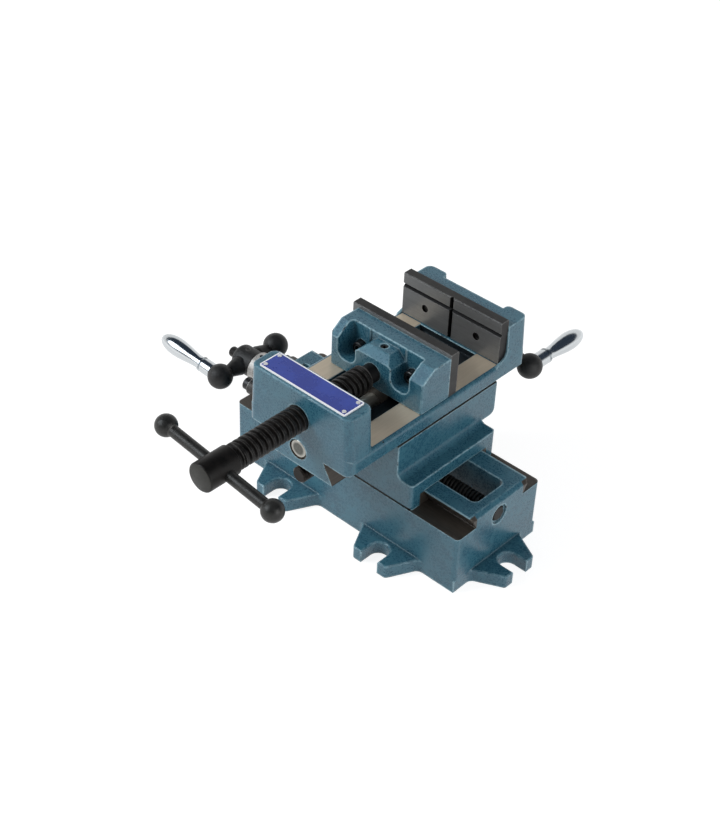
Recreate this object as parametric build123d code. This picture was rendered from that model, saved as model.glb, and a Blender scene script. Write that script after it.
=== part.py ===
from build123d import *
import os
from math import cos, radians, sin, tan

# Cross slide vise, millimetres, +Z up.
# The origin is on the underside of the base, at its centre.
# +X runs along the base, +Y from the clamping handle towards the fixed jaw.

# Base casting
base_length = 180.0
base_width = 75.0
way_height = 40.5
dovetail_height = 8.5
dovetail_top_width = 52.5
dovetail_angle = 60.0
base_corner_radius = 3.0
dovetail_end_chamfer = 2.5
pocket_width = 26.8
pocket_end_wall = 8.0
pocket_corner_radius = 4.0

# Bolting lugs round the base
lug_spacing = 82.0
lug_root_width = 45.0
lug_tip_width = 25.7
lug_reach = 19.0
lug_height = 8.7
lug_slot_width = 12.8
lug_slot_land = 4.0
lug_root_radius = 5.0
lug_tip_radius = 2.5
lug_rim_chamfer = 0.6

# Saddle casting
saddle_shift = 2.5
wing_length = 103.6
wing_top = 58.3
saddle_width = 80.0
saddle_rear = 50.2
saddle_top = 81.4
saddle_cove = 4.5
saddle_corner_radius = 2.5
overhang_radius = 4.0
groove_ceiling_gap = 0.5
slide_clearance = 0.1
gib_thickness = 3.0

# Upper slide, cut across the saddle
cross_dovetail_width = 54.0
cross_dovetail_height = 12.7
screw_channel_width = 19.0
screw_channel_depth = 6.0

# Vise body casting
body_front = -78.0
body_width = 80.0
bed_thickness = 10.7
bed_rail_inner = 22.0
bed_ledge_drop = 4.2
bed_edge_radius = 2.4
body_foot_chamfer = 1.4
rear_foot_chamfer = 3.0
rear_pad_length = 8.8
front_block_thickness = 20.0
front_block_rise = 28.2
front_block_top_width = 76.4
front_block_rim = 1.2
body_corner_radius = 5.0
tongue_slot_width = 22.0
tongue_slot_start = 2.0
tongue_slot_stop = 5.4

# Jaws
jaw_plate_width = 76.2
jaw_plate_height = 29.4
jaw_plate_thickness = 6.8
fixed_plate_face = 51.4
jaw_gap = 38.3
fixed_jaw_rise = 24.0
fixed_jaw_overhang = 0.4
fixed_jaw_web = 13.2
fixed_jaw_lug = 17.8
fixed_jaw_lug_width = 16.5
fixed_jaw_lug_lean = 1.5
fixed_jaw_lug_radius = 3.0
fixed_jaw_radius = 4.2
fixed_jaw_ledge = 0.1
cheek_ramp_length = 9.7
cheek_ramp_rise = 6.5
cheek_shoulder_back = 2.0
cheek_shoulder_rise = 3.1
jaw_screw_spacing = 40.2
jaw_screw_drop = 17.8
v_groove_drop = 8.6
v_groove_width = 3.0
v_groove_depth = 1.6
moving_jaw_rise = 27.1
moving_jaw_depth = 23.9
moving_jaw_slope_run = 9.6
moving_jaw_slope_drop = 6.9
moving_jaw_inset = 4.1
moving_jaw_radius = 2.8
moving_jaw_edge = 0.8
bowl_half_spacing = 20.8
bowl_width = 14.2
bowl_radius = 6.0
bowl_back_radius = 2.0
bowl_depth = 19.7
bowl_back_wall = 10.6
bowl_seat_depth = 0.8
boss_drop = 3.1
boss_flat_width = 15.4
boss_facet_drop = 5.4
tongue_width = 21.6
tongue_length = 19.0
tongue_drop = 20.4
tongue_inset = 3.0

# Guide rod under the clamping screw
rod_diameter = 12.0
rod_drop = 12.2
rod_mouth_diameter = 13.0
rod_mouth_depth = 2.0
rod_front_step = 0.5
rod_rear_bite = 10.6

# Clamping screw and its sliding bar
clamp_screw_rise = 10.3
clamp_thread_diameter = 16.0
clamp_hub_diameter = 18.0
clamp_hub_length = 22.4
clamp_hub_reach = 73.4
clamp_journal_diameter = 12.0
clamp_journal_length = 14.0
clamp_shoulder_gap = 7.0
clamp_waist_diameter = 8.6
clamp_waist_width = 4.2
clamp_waist_place = 9.7
bar_diameter = 7.0
bar_ball_diameter = 13.2
bar_ball_spacing = 82.8
bar_inset = 13.3
bar_tilt = 6.8
bar_ball_socket = 5.0

# Slide screws, cranks and their handles
slide_screw_diameter = 10.0
base_screw_drop = 12.0
body_screw_drop = 8.8
screw_journal_diameter = 8.0
screw_tip_diameter = 7.0
screw_tip_reach = 7.0
tip_bore_counterbore = 13.0
tip_counterbore_depth = 1.5
bracket_plate = 8.0
bracket_boss_diameter = 20.0
bracket_boss_length = 4.6
bracket_ear_radius = 5.4
bracket_screw_spacing = 34.0
body_bracket_drop = 22.0
dial_diameter = 20.4
dial_length = 7.6
dial_gap = 0.3
crank_hub_diameter = 18.0
crank_hub_length = 17.0
crank_ball_diameter = 16.5
crank_ball_spacing = 49.4
crank_neck_diameter = 8.0
crank_arm_flare = 2.6
crank_arm_taper = 7.6
crank_hub_round = 4.0
crank_pin_diameter = 3.0
base_crank_angle = 0.5
body_crank_angle = 8.5
handle_length = 47.0
handle_collar_diameter = 10.2
handle_collar_length = 9.5
handle_neck_diameter = 8.6
handle_bulge_diameter = 12.3
handle_tip_diameter = 5.6
handle_seat = 6.2
handle_swell_start = 6.0
handle_swell_rise = 17.0
handle_swell_peak = 11.0
handle_tip_round = 3.2
base_handle_lean = 3.0
body_handle_lean = 1.5
spindle_diameter = 5.0
spindle_head_diameter = 8.0
spindle_head_length = 2.0
spindle_head_rim = 1.6
spindle_bite = 11.5
base_nut_length = 36.0
base_nut_width = 20.0
nut_wall = 3.0
nut_screw_inset = 3.5
body_nut_length = 22.0
body_nut_start = 12.0
body_nut_width = 17.6
body_nut_ear = 7.2
body_nut_ear_height = 4.0

# Name plate on the front block
plate_length = 65.5
plate_depth = 16.3
plate_thickness = 0.8
plate_corner_radius = 1.2
rivet_inset = 2.6
rivet_diameter = 2.6
rivet_height = 0.6

# Clearances between pieces
fit_clearance = 0.05
thread_clearance = 0.15
side_clearance = 0.2
seat_gap = 0.3
rod_seat = 0.01

# Socket screws and nuts: shank, head, head height, socket
m3 = (3.0, 5.5, 3.0, 2.5)
m4 = (4.0, 7.0, 4.0, 3.0)
m5 = (5.0, 8.5, 5.0, 4.0)
bracket_screw_bite = 11.5
screw_hole_spare = 1.0
plate_screw_gap = 1.6
gib_screw_gap = 1.6
jam_nut_width = 8.0
jam_nut_thickness = 2.7
gib_screw_projection = 5.0

# Places worked out from the sizes above
flank = 1 / tan(radians(dovetail_angle))
half_base = base_length / 2
half_base_width = base_width / 2
dovetail_top = way_height + dovetail_height
dovetail_root = dovetail_top_width / 2 - dovetail_height * flank
groove_ceiling = dovetail_top + groove_ceiling_gap
body_land = saddle_top + slide_clearance
bed_height = body_land + bed_thickness
bed_ledge_height = bed_height - bed_ledge_drop
front_block_top = bed_height + front_block_rise
cross_dovetail_bottom = body_land - cross_dovetail_height
cross_root = cross_dovetail_width / 2 - cross_dovetail_height * flank
cross_groove_floor = cross_dovetail_bottom - groove_ceiling_gap
gib_span = gib_thickness / sin(radians(dovetail_angle))
base_screw_height = groove_ceiling - base_screw_drop
base_nut_bottom = base_screw_height - slide_screw_diameter / 2 - nut_wall
body_screw_height = cross_dovetail_bottom - body_screw_drop
screw_channel_floor = body_screw_height - screw_channel_depth
block_rear = body_front + front_block_thickness
fixed_plate_back = fixed_plate_face + jaw_plate_thickness
fixed_jaw_rear = fixed_plate_back + fixed_jaw_lug
fixed_jaw_top = bed_height + fixed_jaw_rise
tongue_slot_end = fixed_plate_face - tongue_slot_stop
rod_end = fixed_plate_face + rod_rear_bite
rod_height = bed_height - rod_drop
jaw_plate_top = bed_height + jaw_plate_height
moving_plate_face = fixed_plate_face - jaw_gap
moving_plate_back = moving_plate_face - jaw_plate_thickness
moving_jaw_front = moving_plate_back - moving_jaw_depth
moving_jaw_top = bed_height + moving_jaw_rise
bowl_back = moving_plate_back - bowl_back_wall
bowl_floor = moving_jaw_top - bowl_depth
boss_top = moving_jaw_top - boss_drop
retainer_place = moving_jaw_front + clamp_waist_place
clamp_screw_height = bed_height + clamp_screw_rise
jaw_bottom = bed_height + slide_clearance
jaw_screw_height = jaw_plate_top - jaw_screw_drop
tongue_rear = moving_plate_back - tongue_inset
hub_front = body_front - clamp_hub_reach
bar_centre = hub_front + bar_inset
crank_plane = bracket_plate + bracket_boss_length + dial_length + 2 * dial_gap + crank_hub_length / 2
stack_end = crank_plane + crank_hub_length / 2


# Plain solids given by their limits
def block(x0, x1, y0, y1, z0, z1):
    return Pos((x0 + x1) / 2, (y0 + y1) / 2, (z0 + z1) / 2) * Box(x1 - x0, y1 - y0, z1 - z0)


def rod_x(diameter, x0, x1, y, z):
    return Plane(origin=((x0 + x1) / 2, y, z), z_dir=(1, 0, 0)) * Cylinder(diameter / 2, x1 - x0)


def rod_y(diameter, y0, y1, x, z):
    return Plane(origin=(x, (y0 + y1) / 2, z), z_dir=(0, 1, 0)) * Cylinder(diameter / 2, y1 - y0)


def rod_z(diameter, z0, z1, x, y):
    return Pos(x, y, (z0 + z1) / 2) * Cylinder(diameter / 2, z1 - z0)


def bar_along_y(points, y0, y1):
    section = make_face(Polyline(*[(x, y0, z) for x, z in points], close=True))
    return extrude(section, amount=y1 - y0, dir=(0, 1, 0))


def rounded_bar_along_y(points, corners, radius, y0, y1):
    # The named corners of the section are rounded before it is drawn out
    section = make_face(Polyline(*points, close=True))
    chosen = [spot for spot in section.vertices() if near_any(spot, corners)]
    section = fillet(chosen, radius)
    frame = Plane(origin=(0, y0, 0), x_dir=(1, 0, 0), z_dir=(0, -1, 0))
    return extrude(frame * section, amount=y0 - y1)


def near_any(spot, corners):
    return any(abs(spot.X - x) < 0.01 and abs(spot.Y - y) < 0.01 for x, y in corners)


def bar_along_x(points, x0, x1):
    section = make_face(Polyline(*[(x0, y, z) for y, z in points], close=True))
    return extrude(section, amount=x1 - x0, dir=(1, 0, 0))


def mirrored(points):
    return points + [(-a, b) for a, b in reversed(points)]


def turned(points):
    # A profile of (radius, height) pairs turned round the Z axis
    section = make_face(Polyline(*[(r, 0, z) for r, z in points], close=True))
    return revolve(section, Axis.Z)


def one_solid(shape):
    solids = sorted(shape.solids(), key=lambda piece: piece.volume)
    return solids[-1]


def edges_where(shape, test):
    return [edge for edge in shape.edges() if test(edge @ 0.5)]


def save(name, *pieces):
    solids = [solid for piece in pieces for solid in piece.solids()]
    whole = solids[0] if len(solids) == 1 else Compound(children=solids)
    whole.label = name
    export_step(whole, "parts/" + name + ".step")


# Fasteners, head seat at the origin and shank pointing down the Z axis
def socket_screw(size, length):
    shank, head, head_height, socket = size
    screw = Pos(0, 0, head_height / 2) * Cylinder(head / 2, head_height)
    screw = chamfer(screw.edges().group_by(Axis.Z)[-1], 0.4)
    screw += Pos(0, 0, -length / 2) * Cylinder(shank / 2, length)
    recess = extrude(RegularPolygon(socket / 2, 6, major_radius=False), amount=head_height * 0.55)
    return screw - Pos(0, 0, head_height * 0.45) * recess


def countersunk_screw(size, length):
    shank, head, _, socket = size
    cone = (head - shank) / 2
    profile = [(0, 0), (head / 2, 0), (shank / 2, -cone), (shank / 2, -length), (0, -length)]
    recess = extrude(RegularPolygon(socket / 2 - 0.3, 6, major_radius=False), amount=-1.6)
    return turned(profile) - recess


def grub_screw(size, length):
    shank = size[0]
    screw = Pos(0, 0, -length / 2) * Cylinder(shank / 2, length)
    screw = chamfer(screw.edges().group_by(Axis.Z)[0], 0.5)
    recess = extrude(RegularPolygon(shank * 0.25, 6, major_radius=False), amount=-shank * 0.5)
    return screw - recess


def jam_nut(size):
    nut = extrude(RegularPolygon(jam_nut_width / 2, 6, major_radius=False), amount=jam_nut_thickness)
    return nut - Cylinder(size[0] / 2 + fit_clearance, 4 * jam_nut_thickness)


def placed(piece, point, outward):
    return Plane(origin=point, z_dir=outward) * piece


# Base
def lug_outline():
    root = lug_root_width / 2
    tip = lug_tip_width / 2
    inside = base_corner_radius + 1
    half = [(root, -inside), (root, 0), (tip, lug_reach)]
    return make_face(Polyline(*mirrored(half), close=True))


def lug_places():
    places = []
    for side in (-1, 1):
        for x in (-lug_spacing / 2, lug_spacing / 2):
            places.append((x, side * half_base_width, 90 * side - 90))
        places.append((side * half_base, 0, -90 * side))
    return places


def lug_slot():
    # Open slot with a round inner end, in the lug's own frame
    radius = lug_slot_width / 2
    centre = lug_slot_land + radius
    outside = lug_reach + 5
    slot = Pos(0, (centre + outside) / 2) * Rectangle(lug_slot_width, outside - centre)
    return slot + Pos(0, centre) * Circle(radius)


def base_foot():
    outline = Rectangle(base_length, base_width)
    for x, y, turn in lug_places():
        outline += Pos(x, y) * Rot(0, 0, turn) * lug_outline()
    outline = outline.face()
    outline = fillet([corner for corner in outline.vertices() if is_lug_root(corner)], lug_root_radius)
    outline = fillet([corner for corner in outline.vertices() if is_lug_tip(corner)], lug_tip_radius)
    for x, y, turn in lug_places():
        outline -= Pos(x, y) * Rot(0, 0, turn) * lug_slot()
    foot = extrude(outline, amount=lug_height)
    top_rim = foot.faces().sort_by(Axis.Z)[-1].outer_wire().edges()
    return chamfer([edge for edge in top_rim if beyond_walls(edge @ 0.5)], lug_rim_chamfer)


def is_lug_root(corner):
    for x, y, turn in lug_places():
        local = (Pos(x, y) * Rot(0, 0, turn)).inverse() * Pos(corner.X, corner.Y)
        across = abs(local.position.X) - lug_root_width / 2
        if abs(local.position.Y) < 0.01 and abs(across) < 0.01:
            return True
    return False


def is_lug_tip(corner):
    past_side = abs(abs(corner.Y) - half_base_width - lug_reach) < 0.01
    past_end = abs(abs(corner.X) - half_base - lug_reach) < 0.01
    return past_side or past_end


def beyond_walls(point):
    return abs(point.X) > half_base + lug_slot_land or abs(point.Y) > half_base_width + lug_slot_land


def base_walls():
    walls = block(-half_base, half_base, -half_base_width, half_base_width, 0, way_height)
    walls = fillet(walls.edges().filter_by(Axis.Z), base_corner_radius)
    top = dovetail_top_width / 2
    section = mirrored([(dovetail_root, way_height - 1), (dovetail_root, way_height), (top, dovetail_top)])
    dovetail = bar_along_x(section, -half_base, half_base)
    ends = edges_where(dovetail, lambda p: abs(p.X) > half_base - 0.1 and p.Z > dovetail_top - 0.1)
    return walls + chamfer(ends, dovetail_end_chamfer)


def base():
    # The pocket for the nut runs right through, from the dovetail's top to the underside
    casting = base_walls() + base_foot()
    pocket_length = base_length - 2 * pocket_end_wall
    pocket_plan = RectangleRounded(pocket_length, pocket_width, pocket_corner_radius)
    casting -= Pos(0, 0, -1) * extrude(pocket_plan, amount=dovetail_top + 2)
    bore = screw_journal_diameter + 2 + 2 * fit_clearance
    casting -= rod_x(bore, 0, base_length, 0, base_screw_height)
    mouth = tip_counterbore_depth
    casting -= rod_x(tip_bore_counterbore, half_base - mouth, half_base + 1, 0, base_screw_height)
    passing = slide_screw_diameter + 4 * side_clearance
    casting -= rod_x(passing, -base_length, 0, 0, base_screw_height)
    for y in (-bracket_screw_spacing / 2, bracket_screw_spacing / 2):
        depth = bracket_screw_bite + screw_hole_spare
        casting -= rod_x(m5[0], -half_base - 1, -half_base + depth, y, base_screw_height)
    return one_solid(casting)


# Screw brackets, built with the mounting face on Z = 0 and the screw along Z
def bracket_boss(plate):
    boss = Pos(0, 0, (bracket_plate + bracket_boss_length) / 2)
    plate += boss * Cylinder(bracket_boss_diameter / 2, bracket_plate + bracket_boss_length)
    reach = 3 * (bracket_plate + bracket_boss_length)
    return plate - Cylinder(screw_journal_diameter / 2 + fit_clearance, reach)


def hull_plate(circles):
    edges = [(Pos(x, y) * Circle(radius)).edge() for x, y, radius in circles]
    return extrude(make_hull(edges), amount=bracket_plate)


def bracket_holes(plate, places):
    for x, y in places:
        plate -= Pos(x, y) * Cylinder(m5[0] / 2 + side_clearance, 3 * bracket_plate)
    return plate


def oval_bracket():
    ear = bracket_screw_spacing / 2
    waist = bracket_boss_diameter / 2 + 1
    plate = hull_plate([(0, 0, waist), (-ear, 0, bracket_ear_radius), (ear, 0, bracket_ear_radius)])
    return bracket_holes(bracket_boss(plate), [(-ear, 0), (ear, 0)])


def hanging_bracket():
    # A plate that hangs from the body's rear face down to the screw
    ear = bracket_screw_spacing / 2
    waist = bracket_boss_diameter / 2 + 1
    top = -body_bracket_drop
    plate = hull_plate([(0, 0, waist), (-ear, top, bracket_ear_radius), (ear, top, bracket_ear_radius)])
    return bracket_holes(bracket_boss(plate), [(-ear, top), (ear, top)])


# Crank parts, built with the screw along Z and the mounting face on Z = 0
def dial():
    start = bracket_plate + bracket_boss_length + dial_gap
    ring = Cylinder(dial_diameter / 2, dial_length)
    ring = chamfer(ring.edges().filter_by(GeomType.CIRCLE), 0.6)
    ring -= Cylinder(screw_journal_diameter / 2 + fit_clearance, 2 * dial_length)
    ring = Pos(0, 0, start + dial_length / 2) * ring
    middle = (0, dial_diameter / 2, start + dial_length / 2)
    return ring - placed(Cylinder(m3[0] / 2, dial_diameter), middle, (0, 1, 0))


def dial_set_screw():
    start = bracket_plate + bracket_boss_length + dial_gap
    length = (dial_diameter - screw_journal_diameter) / 2 - 1.0
    return placed(grub_screw(m3, length), (0, dial_diameter / 2 - 0.7, start + dial_length / 2), (0, 1, 0))


def handle_frame(angle, lean):
    # Frame at the centre of the handle's ball, Z along the handle
    return Rot(0, 0, angle) * Pos(crank_ball_spacing / 2, 0, crank_plane) * Rot(-lean, 0, 0)


def crank(angle, lean):
    # Hub with two forged arms that end in balls
    reach = crank_ball_spacing / 2
    hub = Pos(0, 0, crank_plane) * Cylinder(crank_hub_diameter / 2, crank_hub_length)
    hub = fillet(hub.edges().group_by(Axis.Z)[-1], crank_hub_round)
    hub = chamfer(hub.edges().group_by(Axis.Z)[0], 0.8)
    neck = crank_neck_diameter / 2
    flare = neck + crank_arm_flare
    arm_profile = [(0, 0), (flare, 0), (flare - 0.4, crank_hub_diameter / 2)]
    arm_profile += [(neck, reach - crank_arm_taper), (0, reach)]
    for side in (-1, 1):
        hub += placed(turned(arm_profile), (0, 0, crank_plane), (side, 0, 0))
        hub += Pos(side * reach, 0, crank_plane) * Sphere(crank_ball_diameter / 2)
    bore = screw_journal_diameter / 2 + fit_clearance
    hub -= Pos(0, 0, crank_plane) * Cylinder(bore, 2 * crank_hub_length)
    hub -= crank_pin_hole()
    hub -= handle_frame(0, lean) * handle_seat_cut()
    return Rot(0, 0, angle) * one_solid(hub)


def crank_pin_hole():
    return placed(Cylinder(crank_pin_diameter / 2, 2 * crank_hub_diameter), (0, 0, crank_plane), (0, 1, 0))


def crank_pin(angle):
    pin = placed(Cylinder(crank_pin_diameter / 2, crank_hub_diameter - 0.4), (0, 0, crank_plane), (0, 1, 0))
    return Rot(0, 0, angle) * pin


def handle_seat_cut():
    # Flat on the ball and the hole that holds the spindle
    size = crank_ball_diameter
    cap = Pos(0, 0, handle_seat + size / 2) * Box(size, size, size)
    return cap + Pos(0, 0, size / 2 - spindle_bite / 2) * Cylinder(spindle_diameter / 2, spindle_bite)


def spindle(angle, lean):
    # Shouldered pin that carries the turning handle
    floor = crank_ball_diameter / 2 - spindle_bite
    top = handle_seat + slide_clearance + handle_length + fit_clearance
    radius = spindle_diameter / 2
    head = spindle_head_diameter / 2 - spindle_head_rim
    under_head = top - spindle_head_length
    profile = [(0, floor), (radius, floor), (radius, under_head), (head, under_head)]
    profile += [(head, top - 0.5), (head - 0.5, top), (0, top)]
    return handle_frame(angle, lean) * turned(profile)


def handle_form():
    # Turned grip: collar, neck, bulge and rounded end
    collar = handle_collar_diameter / 2
    neck = handle_neck_diameter / 2
    bulge = handle_bulge_diameter / 2
    tip = handle_tip_diameter / 2
    rim = handle_collar_length
    foot = Line((0, 0), (collar - 0.4, 0))
    waist = collar - 1
    side = Polyline((collar - 0.4, 0), (collar, 0.4), (collar, rim - 1), (waist, rim - 0.6), (waist, rim))
    step = Polyline((collar - 1, rim), (collar, rim + 0.4), (collar, rim + 1.4), (neck, rim + 2))
    swell = [(neck, rim + 2), (neck + 0.3, rim + handle_swell_start)]
    swell += [(bulge - 0.5, handle_length - handle_swell_rise), (bulge, handle_length - handle_swell_peak)]
    grip = Spline(swell + [(bulge - 1.3, handle_length - handle_tip_round), (tip, handle_length)])
    lid = Line((tip, handle_length), (0, handle_length))
    back = Line((0, handle_length), (0, 0))
    section = make_face([foot.edge(), *side.edges(), *step.edges(), grip.edge(), lid.edge(), back.edge()])
    return revolve(Plane.XZ * section, Axis.Z)


def handle(angle, lean):
    bore = spindle_diameter / 2 + fit_clearance
    seat = spindle_head_diameter / 2 - spindle_head_rim + fit_clearance
    grip = handle_form() - Cylinder(bore, 3 * handle_length)
    depth = spindle_head_length + fit_clearance
    grip -= Pos(0, 0, handle_length - depth / 2) * Cylinder(seat, depth + 0.01)
    return handle_frame(angle, lean) * Pos(0, 0, handle_seat + slide_clearance) * grip


def slide_screw(inner_length, angle):
    # Threaded length on the inner side of the mounting face, journal on the outer side
    thread = slide_screw_diameter / 2
    journal = screw_journal_diameter / 2
    tip = screw_tip_diameter / 2
    far = -inner_length
    end = stack_end
    profile = [(0, far), (thread - 0.6, far), (thread, far + 0.6), (thread, -fit_clearance)]
    profile += [(journal, -fit_clearance), (journal, end - 1), (tip, end - 1)]
    end += screw_tip_reach
    profile += [(tip, end - 1), (tip - 1, end), (0, end)]
    return one_solid(turned(profile) - Rot(0, 0, angle) * crank_pin_hole())


def base_axis():
    # Screw frame of the base: origin on the left end face, Z pointing away from it
    return Plane(origin=(-half_base, 0, base_screw_height), x_dir=(0, -1, 0), z_dir=(-1, 0, 0))


def body_axis():
    # Screw frame of the vise body: origin on its rear face, Z pointing away from it
    return Plane(origin=(saddle_shift, fixed_jaw_rear, body_screw_height), x_dir=(1, 0, 0), z_dir=(0, 1, 0))


def crank_group(prefix, axis, angle, lean, length):
    save(prefix + "_lead_screw", axis * slide_screw(length, angle))
    save(prefix + "_dial", axis * one_solid(dial()))
    save(prefix + "_dial_set_screw", axis * dial_set_screw())
    save(prefix + "_crank", axis * crank(angle, lean))
    save(prefix + "_crank_pin", axis * crank_pin(angle))
    save(prefix + "_handle_spindle", axis * spindle(angle, lean))
    save(prefix + "_handle", axis * one_solid(handle(angle, lean)))


# Saddle
def x_groove():
    # Groove along X for the base dovetail, wider on the rear side for the gib
    low = way_height - 1
    front = dovetail_root + slide_clearance
    rear = dovetail_root + slide_clearance + gib_span
    rise = groove_ceiling - way_height
    widen = rise * flank
    points = [(-front + flank, low), (-front - widen, groove_ceiling), (rear + widen, groove_ceiling)]
    points.append((rear - flank, low))
    return bar_along_x(points, -wing_length, wing_length)


def y_groove():
    # Groove along Y for the body dovetail, wider on the left side for the gib
    high = body_land + 1
    right = cross_root + slide_clearance
    left = cross_root + slide_clearance + gib_span
    widen = (body_land - cross_groove_floor) * flank
    points = [(right - flank, high), (right + widen, cross_groove_floor), (-left - widen, cross_groove_floor)]
    points.append((-left + flank, high))
    return bar_along_y(points, -base_width, base_width)


def saddle_block():
    half = wing_length / 2
    bottom = way_height + slide_clearance
    wing = block(-half, half, -half_base_width, half_base_width, bottom, wing_top)
    wing = fillet(wing.edges().filter_by(Axis.Z), saddle_corner_radius)
    upper = block(-saddle_width / 2, saddle_width / 2, -half_base_width, saddle_rear, bottom + 8, saddle_top)
    upper -= block(-saddle_width, saddle_width, half_base_width, saddle_rear + 1, 0, wing_top)
    lip = edges_where(upper, lambda p: p.Y > saddle_rear - 0.1 and abs(p.Z - wing_top) < 0.1)
    upper = fillet(lip, overhang_radius)
    casting = wing + upper
    corner = edges_where(casting, is_saddle_corner)
    casting = fillet(corner, saddle_cove)
    return casting


def is_saddle_corner(point):
    on_side = abs(abs(point.X) - saddle_width / 2) < 0.1
    return on_side and abs(point.Z - wing_top) < 0.1 and abs(point.Y) < half_base_width - 1


def x_nut_screw_places():
    reach = base_nut_length / 2 - nut_screw_inset
    return [(-reach, 0), (reach, 0)]


def y_nut_screw_places():
    y = body_nut_start + body_nut_length / 2
    reach = body_nut_width / 2 + body_nut_ear / 2
    return [(-reach, y), (reach, y)]


def x_gib_screw_places():
    return [-wing_length / 3, 0, wing_length / 3]


def y_gib_screw_places():
    length = saddle_rear + half_base_width
    middle = (saddle_rear - half_base_width) / 2
    return [middle - 3 / 8 * length, middle, middle + 3 / 8 * length]


x_gib_screw_height = way_height + dovetail_height / 2
y_gib_screw_height = cross_dovetail_bottom + cross_dovetail_height / 2
head_seat = cross_groove_floor - m4[2] - seat_gap


def saddle():
    casting = saddle_block()
    casting -= x_groove()
    casting -= y_groove()
    channel = screw_channel_width / 2
    casting -= block(-channel, channel, -base_width, base_width, screw_channel_floor, cross_groove_floor + 1)
    ear = body_nut_width / 2 + body_nut_ear + seat_gap
    ear_floor = cross_groove_floor - body_nut_ear_height
    start = body_nut_start - seat_gap
    end = body_nut_start + body_nut_length + seat_gap
    casting -= block(-ear, ear, start, end, ear_floor, cross_groove_floor + 1)
    for x, y in x_nut_screw_places():
        casting -= rod_z(m4[0] + 0.4, way_height, cross_groove_floor + 1, x, y)
        casting -= rod_z(m4[1] + 0.6, head_seat, cross_groove_floor + 1, x, y)
    for x, y in y_nut_screw_places():
        casting -= rod_z(m4[0], ear_floor - 7, ear_floor, x, y)
    for x in x_gib_screw_places():
        casting -= rod_y(m5[0], dovetail_root, base_width, x, x_gib_screw_height)
    for y in y_gib_screw_places():
        casting -= rod_x(m5[0], -saddle_width, -cross_root, y, y_gib_screw_height)
    return one_solid(casting)


def x_gib():
    # Parallelogram strip between the base dovetail and the saddle
    low = way_height + 2 * slide_clearance
    high = dovetail_top
    near = dovetail_root + slide_clearance + (low - way_height) * flank
    lean = (high - low) * flank
    points = [(near, low), (near + gib_span - fit_clearance, low)]
    points += [(near + gib_span + lean - fit_clearance, high), (near + lean, high)]
    return bar_along_x(points, -wing_length / 2, wing_length / 2)


def y_gib():
    low = cross_dovetail_bottom
    high = body_land - 2 * slide_clearance
    near = cross_root + slide_clearance + (body_land - high) * flank
    lean = (high - low) * flank
    points = [(-near, high), (-near - gib_span + fit_clearance, high)]
    points += [(-near - gib_span - lean + fit_clearance, low), (-near - lean, low)]
    return bar_along_y(points, -half_base_width, saddle_rear)


def x_gib_screws():
    face = half_base_width
    flank_place = dovetail_root + (x_gib_screw_height - way_height) * flank
    inner = flank_place + slide_clearance + gib_span + gib_screw_gap
    length = face + gib_screw_projection - inner
    places = x_gib_screw_places()
    point = face + gib_screw_projection
    return [placed(grub_screw(m5, length), (x, point, x_gib_screw_height), (0, 1, 0)) for x in places]


def x_gib_nuts():
    places = x_gib_screw_places()
    point = half_base_width
    return [placed(jam_nut(m5), (x, point, x_gib_screw_height), (0, 1, 0)) for x in places]


def y_gib_screws():
    face = saddle_width / 2
    flank_place = cross_root + (body_land - y_gib_screw_height) * flank
    inner = flank_place + slide_clearance + gib_span + gib_screw_gap
    length = face + gib_screw_projection - inner
    point = -face - gib_screw_projection
    places = y_gib_screw_places()
    return [placed(grub_screw(m5, length), (point, y, y_gib_screw_height), (-1, 0, 0)) for y in places]


def y_gib_nuts():
    point = -saddle_width / 2
    return [placed(jam_nut(m5), (point, y, y_gib_screw_height), (-1, 0, 0)) for y in y_gib_screw_places()]


def x_nut():
    # Nut block that hangs from the saddle into the base pocket
    half = base_nut_length / 2
    side = base_nut_width / 2
    nut = block(-half, half, -side, side, base_nut_bottom, groove_ceiling)
    nut = chamfer(nut.edges().group_by(Axis.Z)[0], 1)
    bore = slide_screw_diameter + 2 * thread_clearance
    nut -= rod_x(bore, -base_length, base_length, 0, base_screw_height)
    for x, y in x_nut_screw_places():
        nut -= rod_z(m4[0], base_screw_height + bore / 2 + 0.5, groove_ceiling + 1, x, y)
    return one_solid(nut)


def x_nut_screws():
    length = head_seat - (base_screw_height + slide_screw_diameter / 2 + thread_clearance + 1)
    return [placed(socket_screw(m4, length), (x, y, head_seat), (0, 0, 1)) for x, y in x_nut_screw_places()]


def y_nut():
    # Nut with two ears let into the floor of the upper groove
    half = body_nut_width / 2
    top = cross_groove_floor - seat_gap / 3
    start = body_nut_start
    end = body_nut_start + body_nut_length
    nut = block(-half, half, start, end, screw_channel_floor, top)
    reach = half + body_nut_ear
    nut += block(-reach, reach, start, end, cross_groove_floor - body_nut_ear_height, top)
    nut -= rod_y(slide_screw_diameter + 2 * thread_clearance, -base_width, base_width, 0, body_screw_height)
    for x, y in y_nut_screw_places():
        cutter = countersunk_screw((m4[0] + 0.1, m4[1] + 0.2, 0, 1), 12)
        nut -= Pos(x, y, top) * cutter.solids()[0]
        nut -= rod_z(m4[1] + 0.2, top - 0.01, top + 1, x, y)
        nut -= rod_z(m4[0] + 0.1, top - 9, top - 1, x, y)
    return one_solid(nut)


def y_nut_screws():
    top = cross_groove_floor - seat_gap / 3
    return [Pos(x, y, top) * countersunk_screw(m4, 10) for x, y in y_nut_screw_places()]


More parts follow.
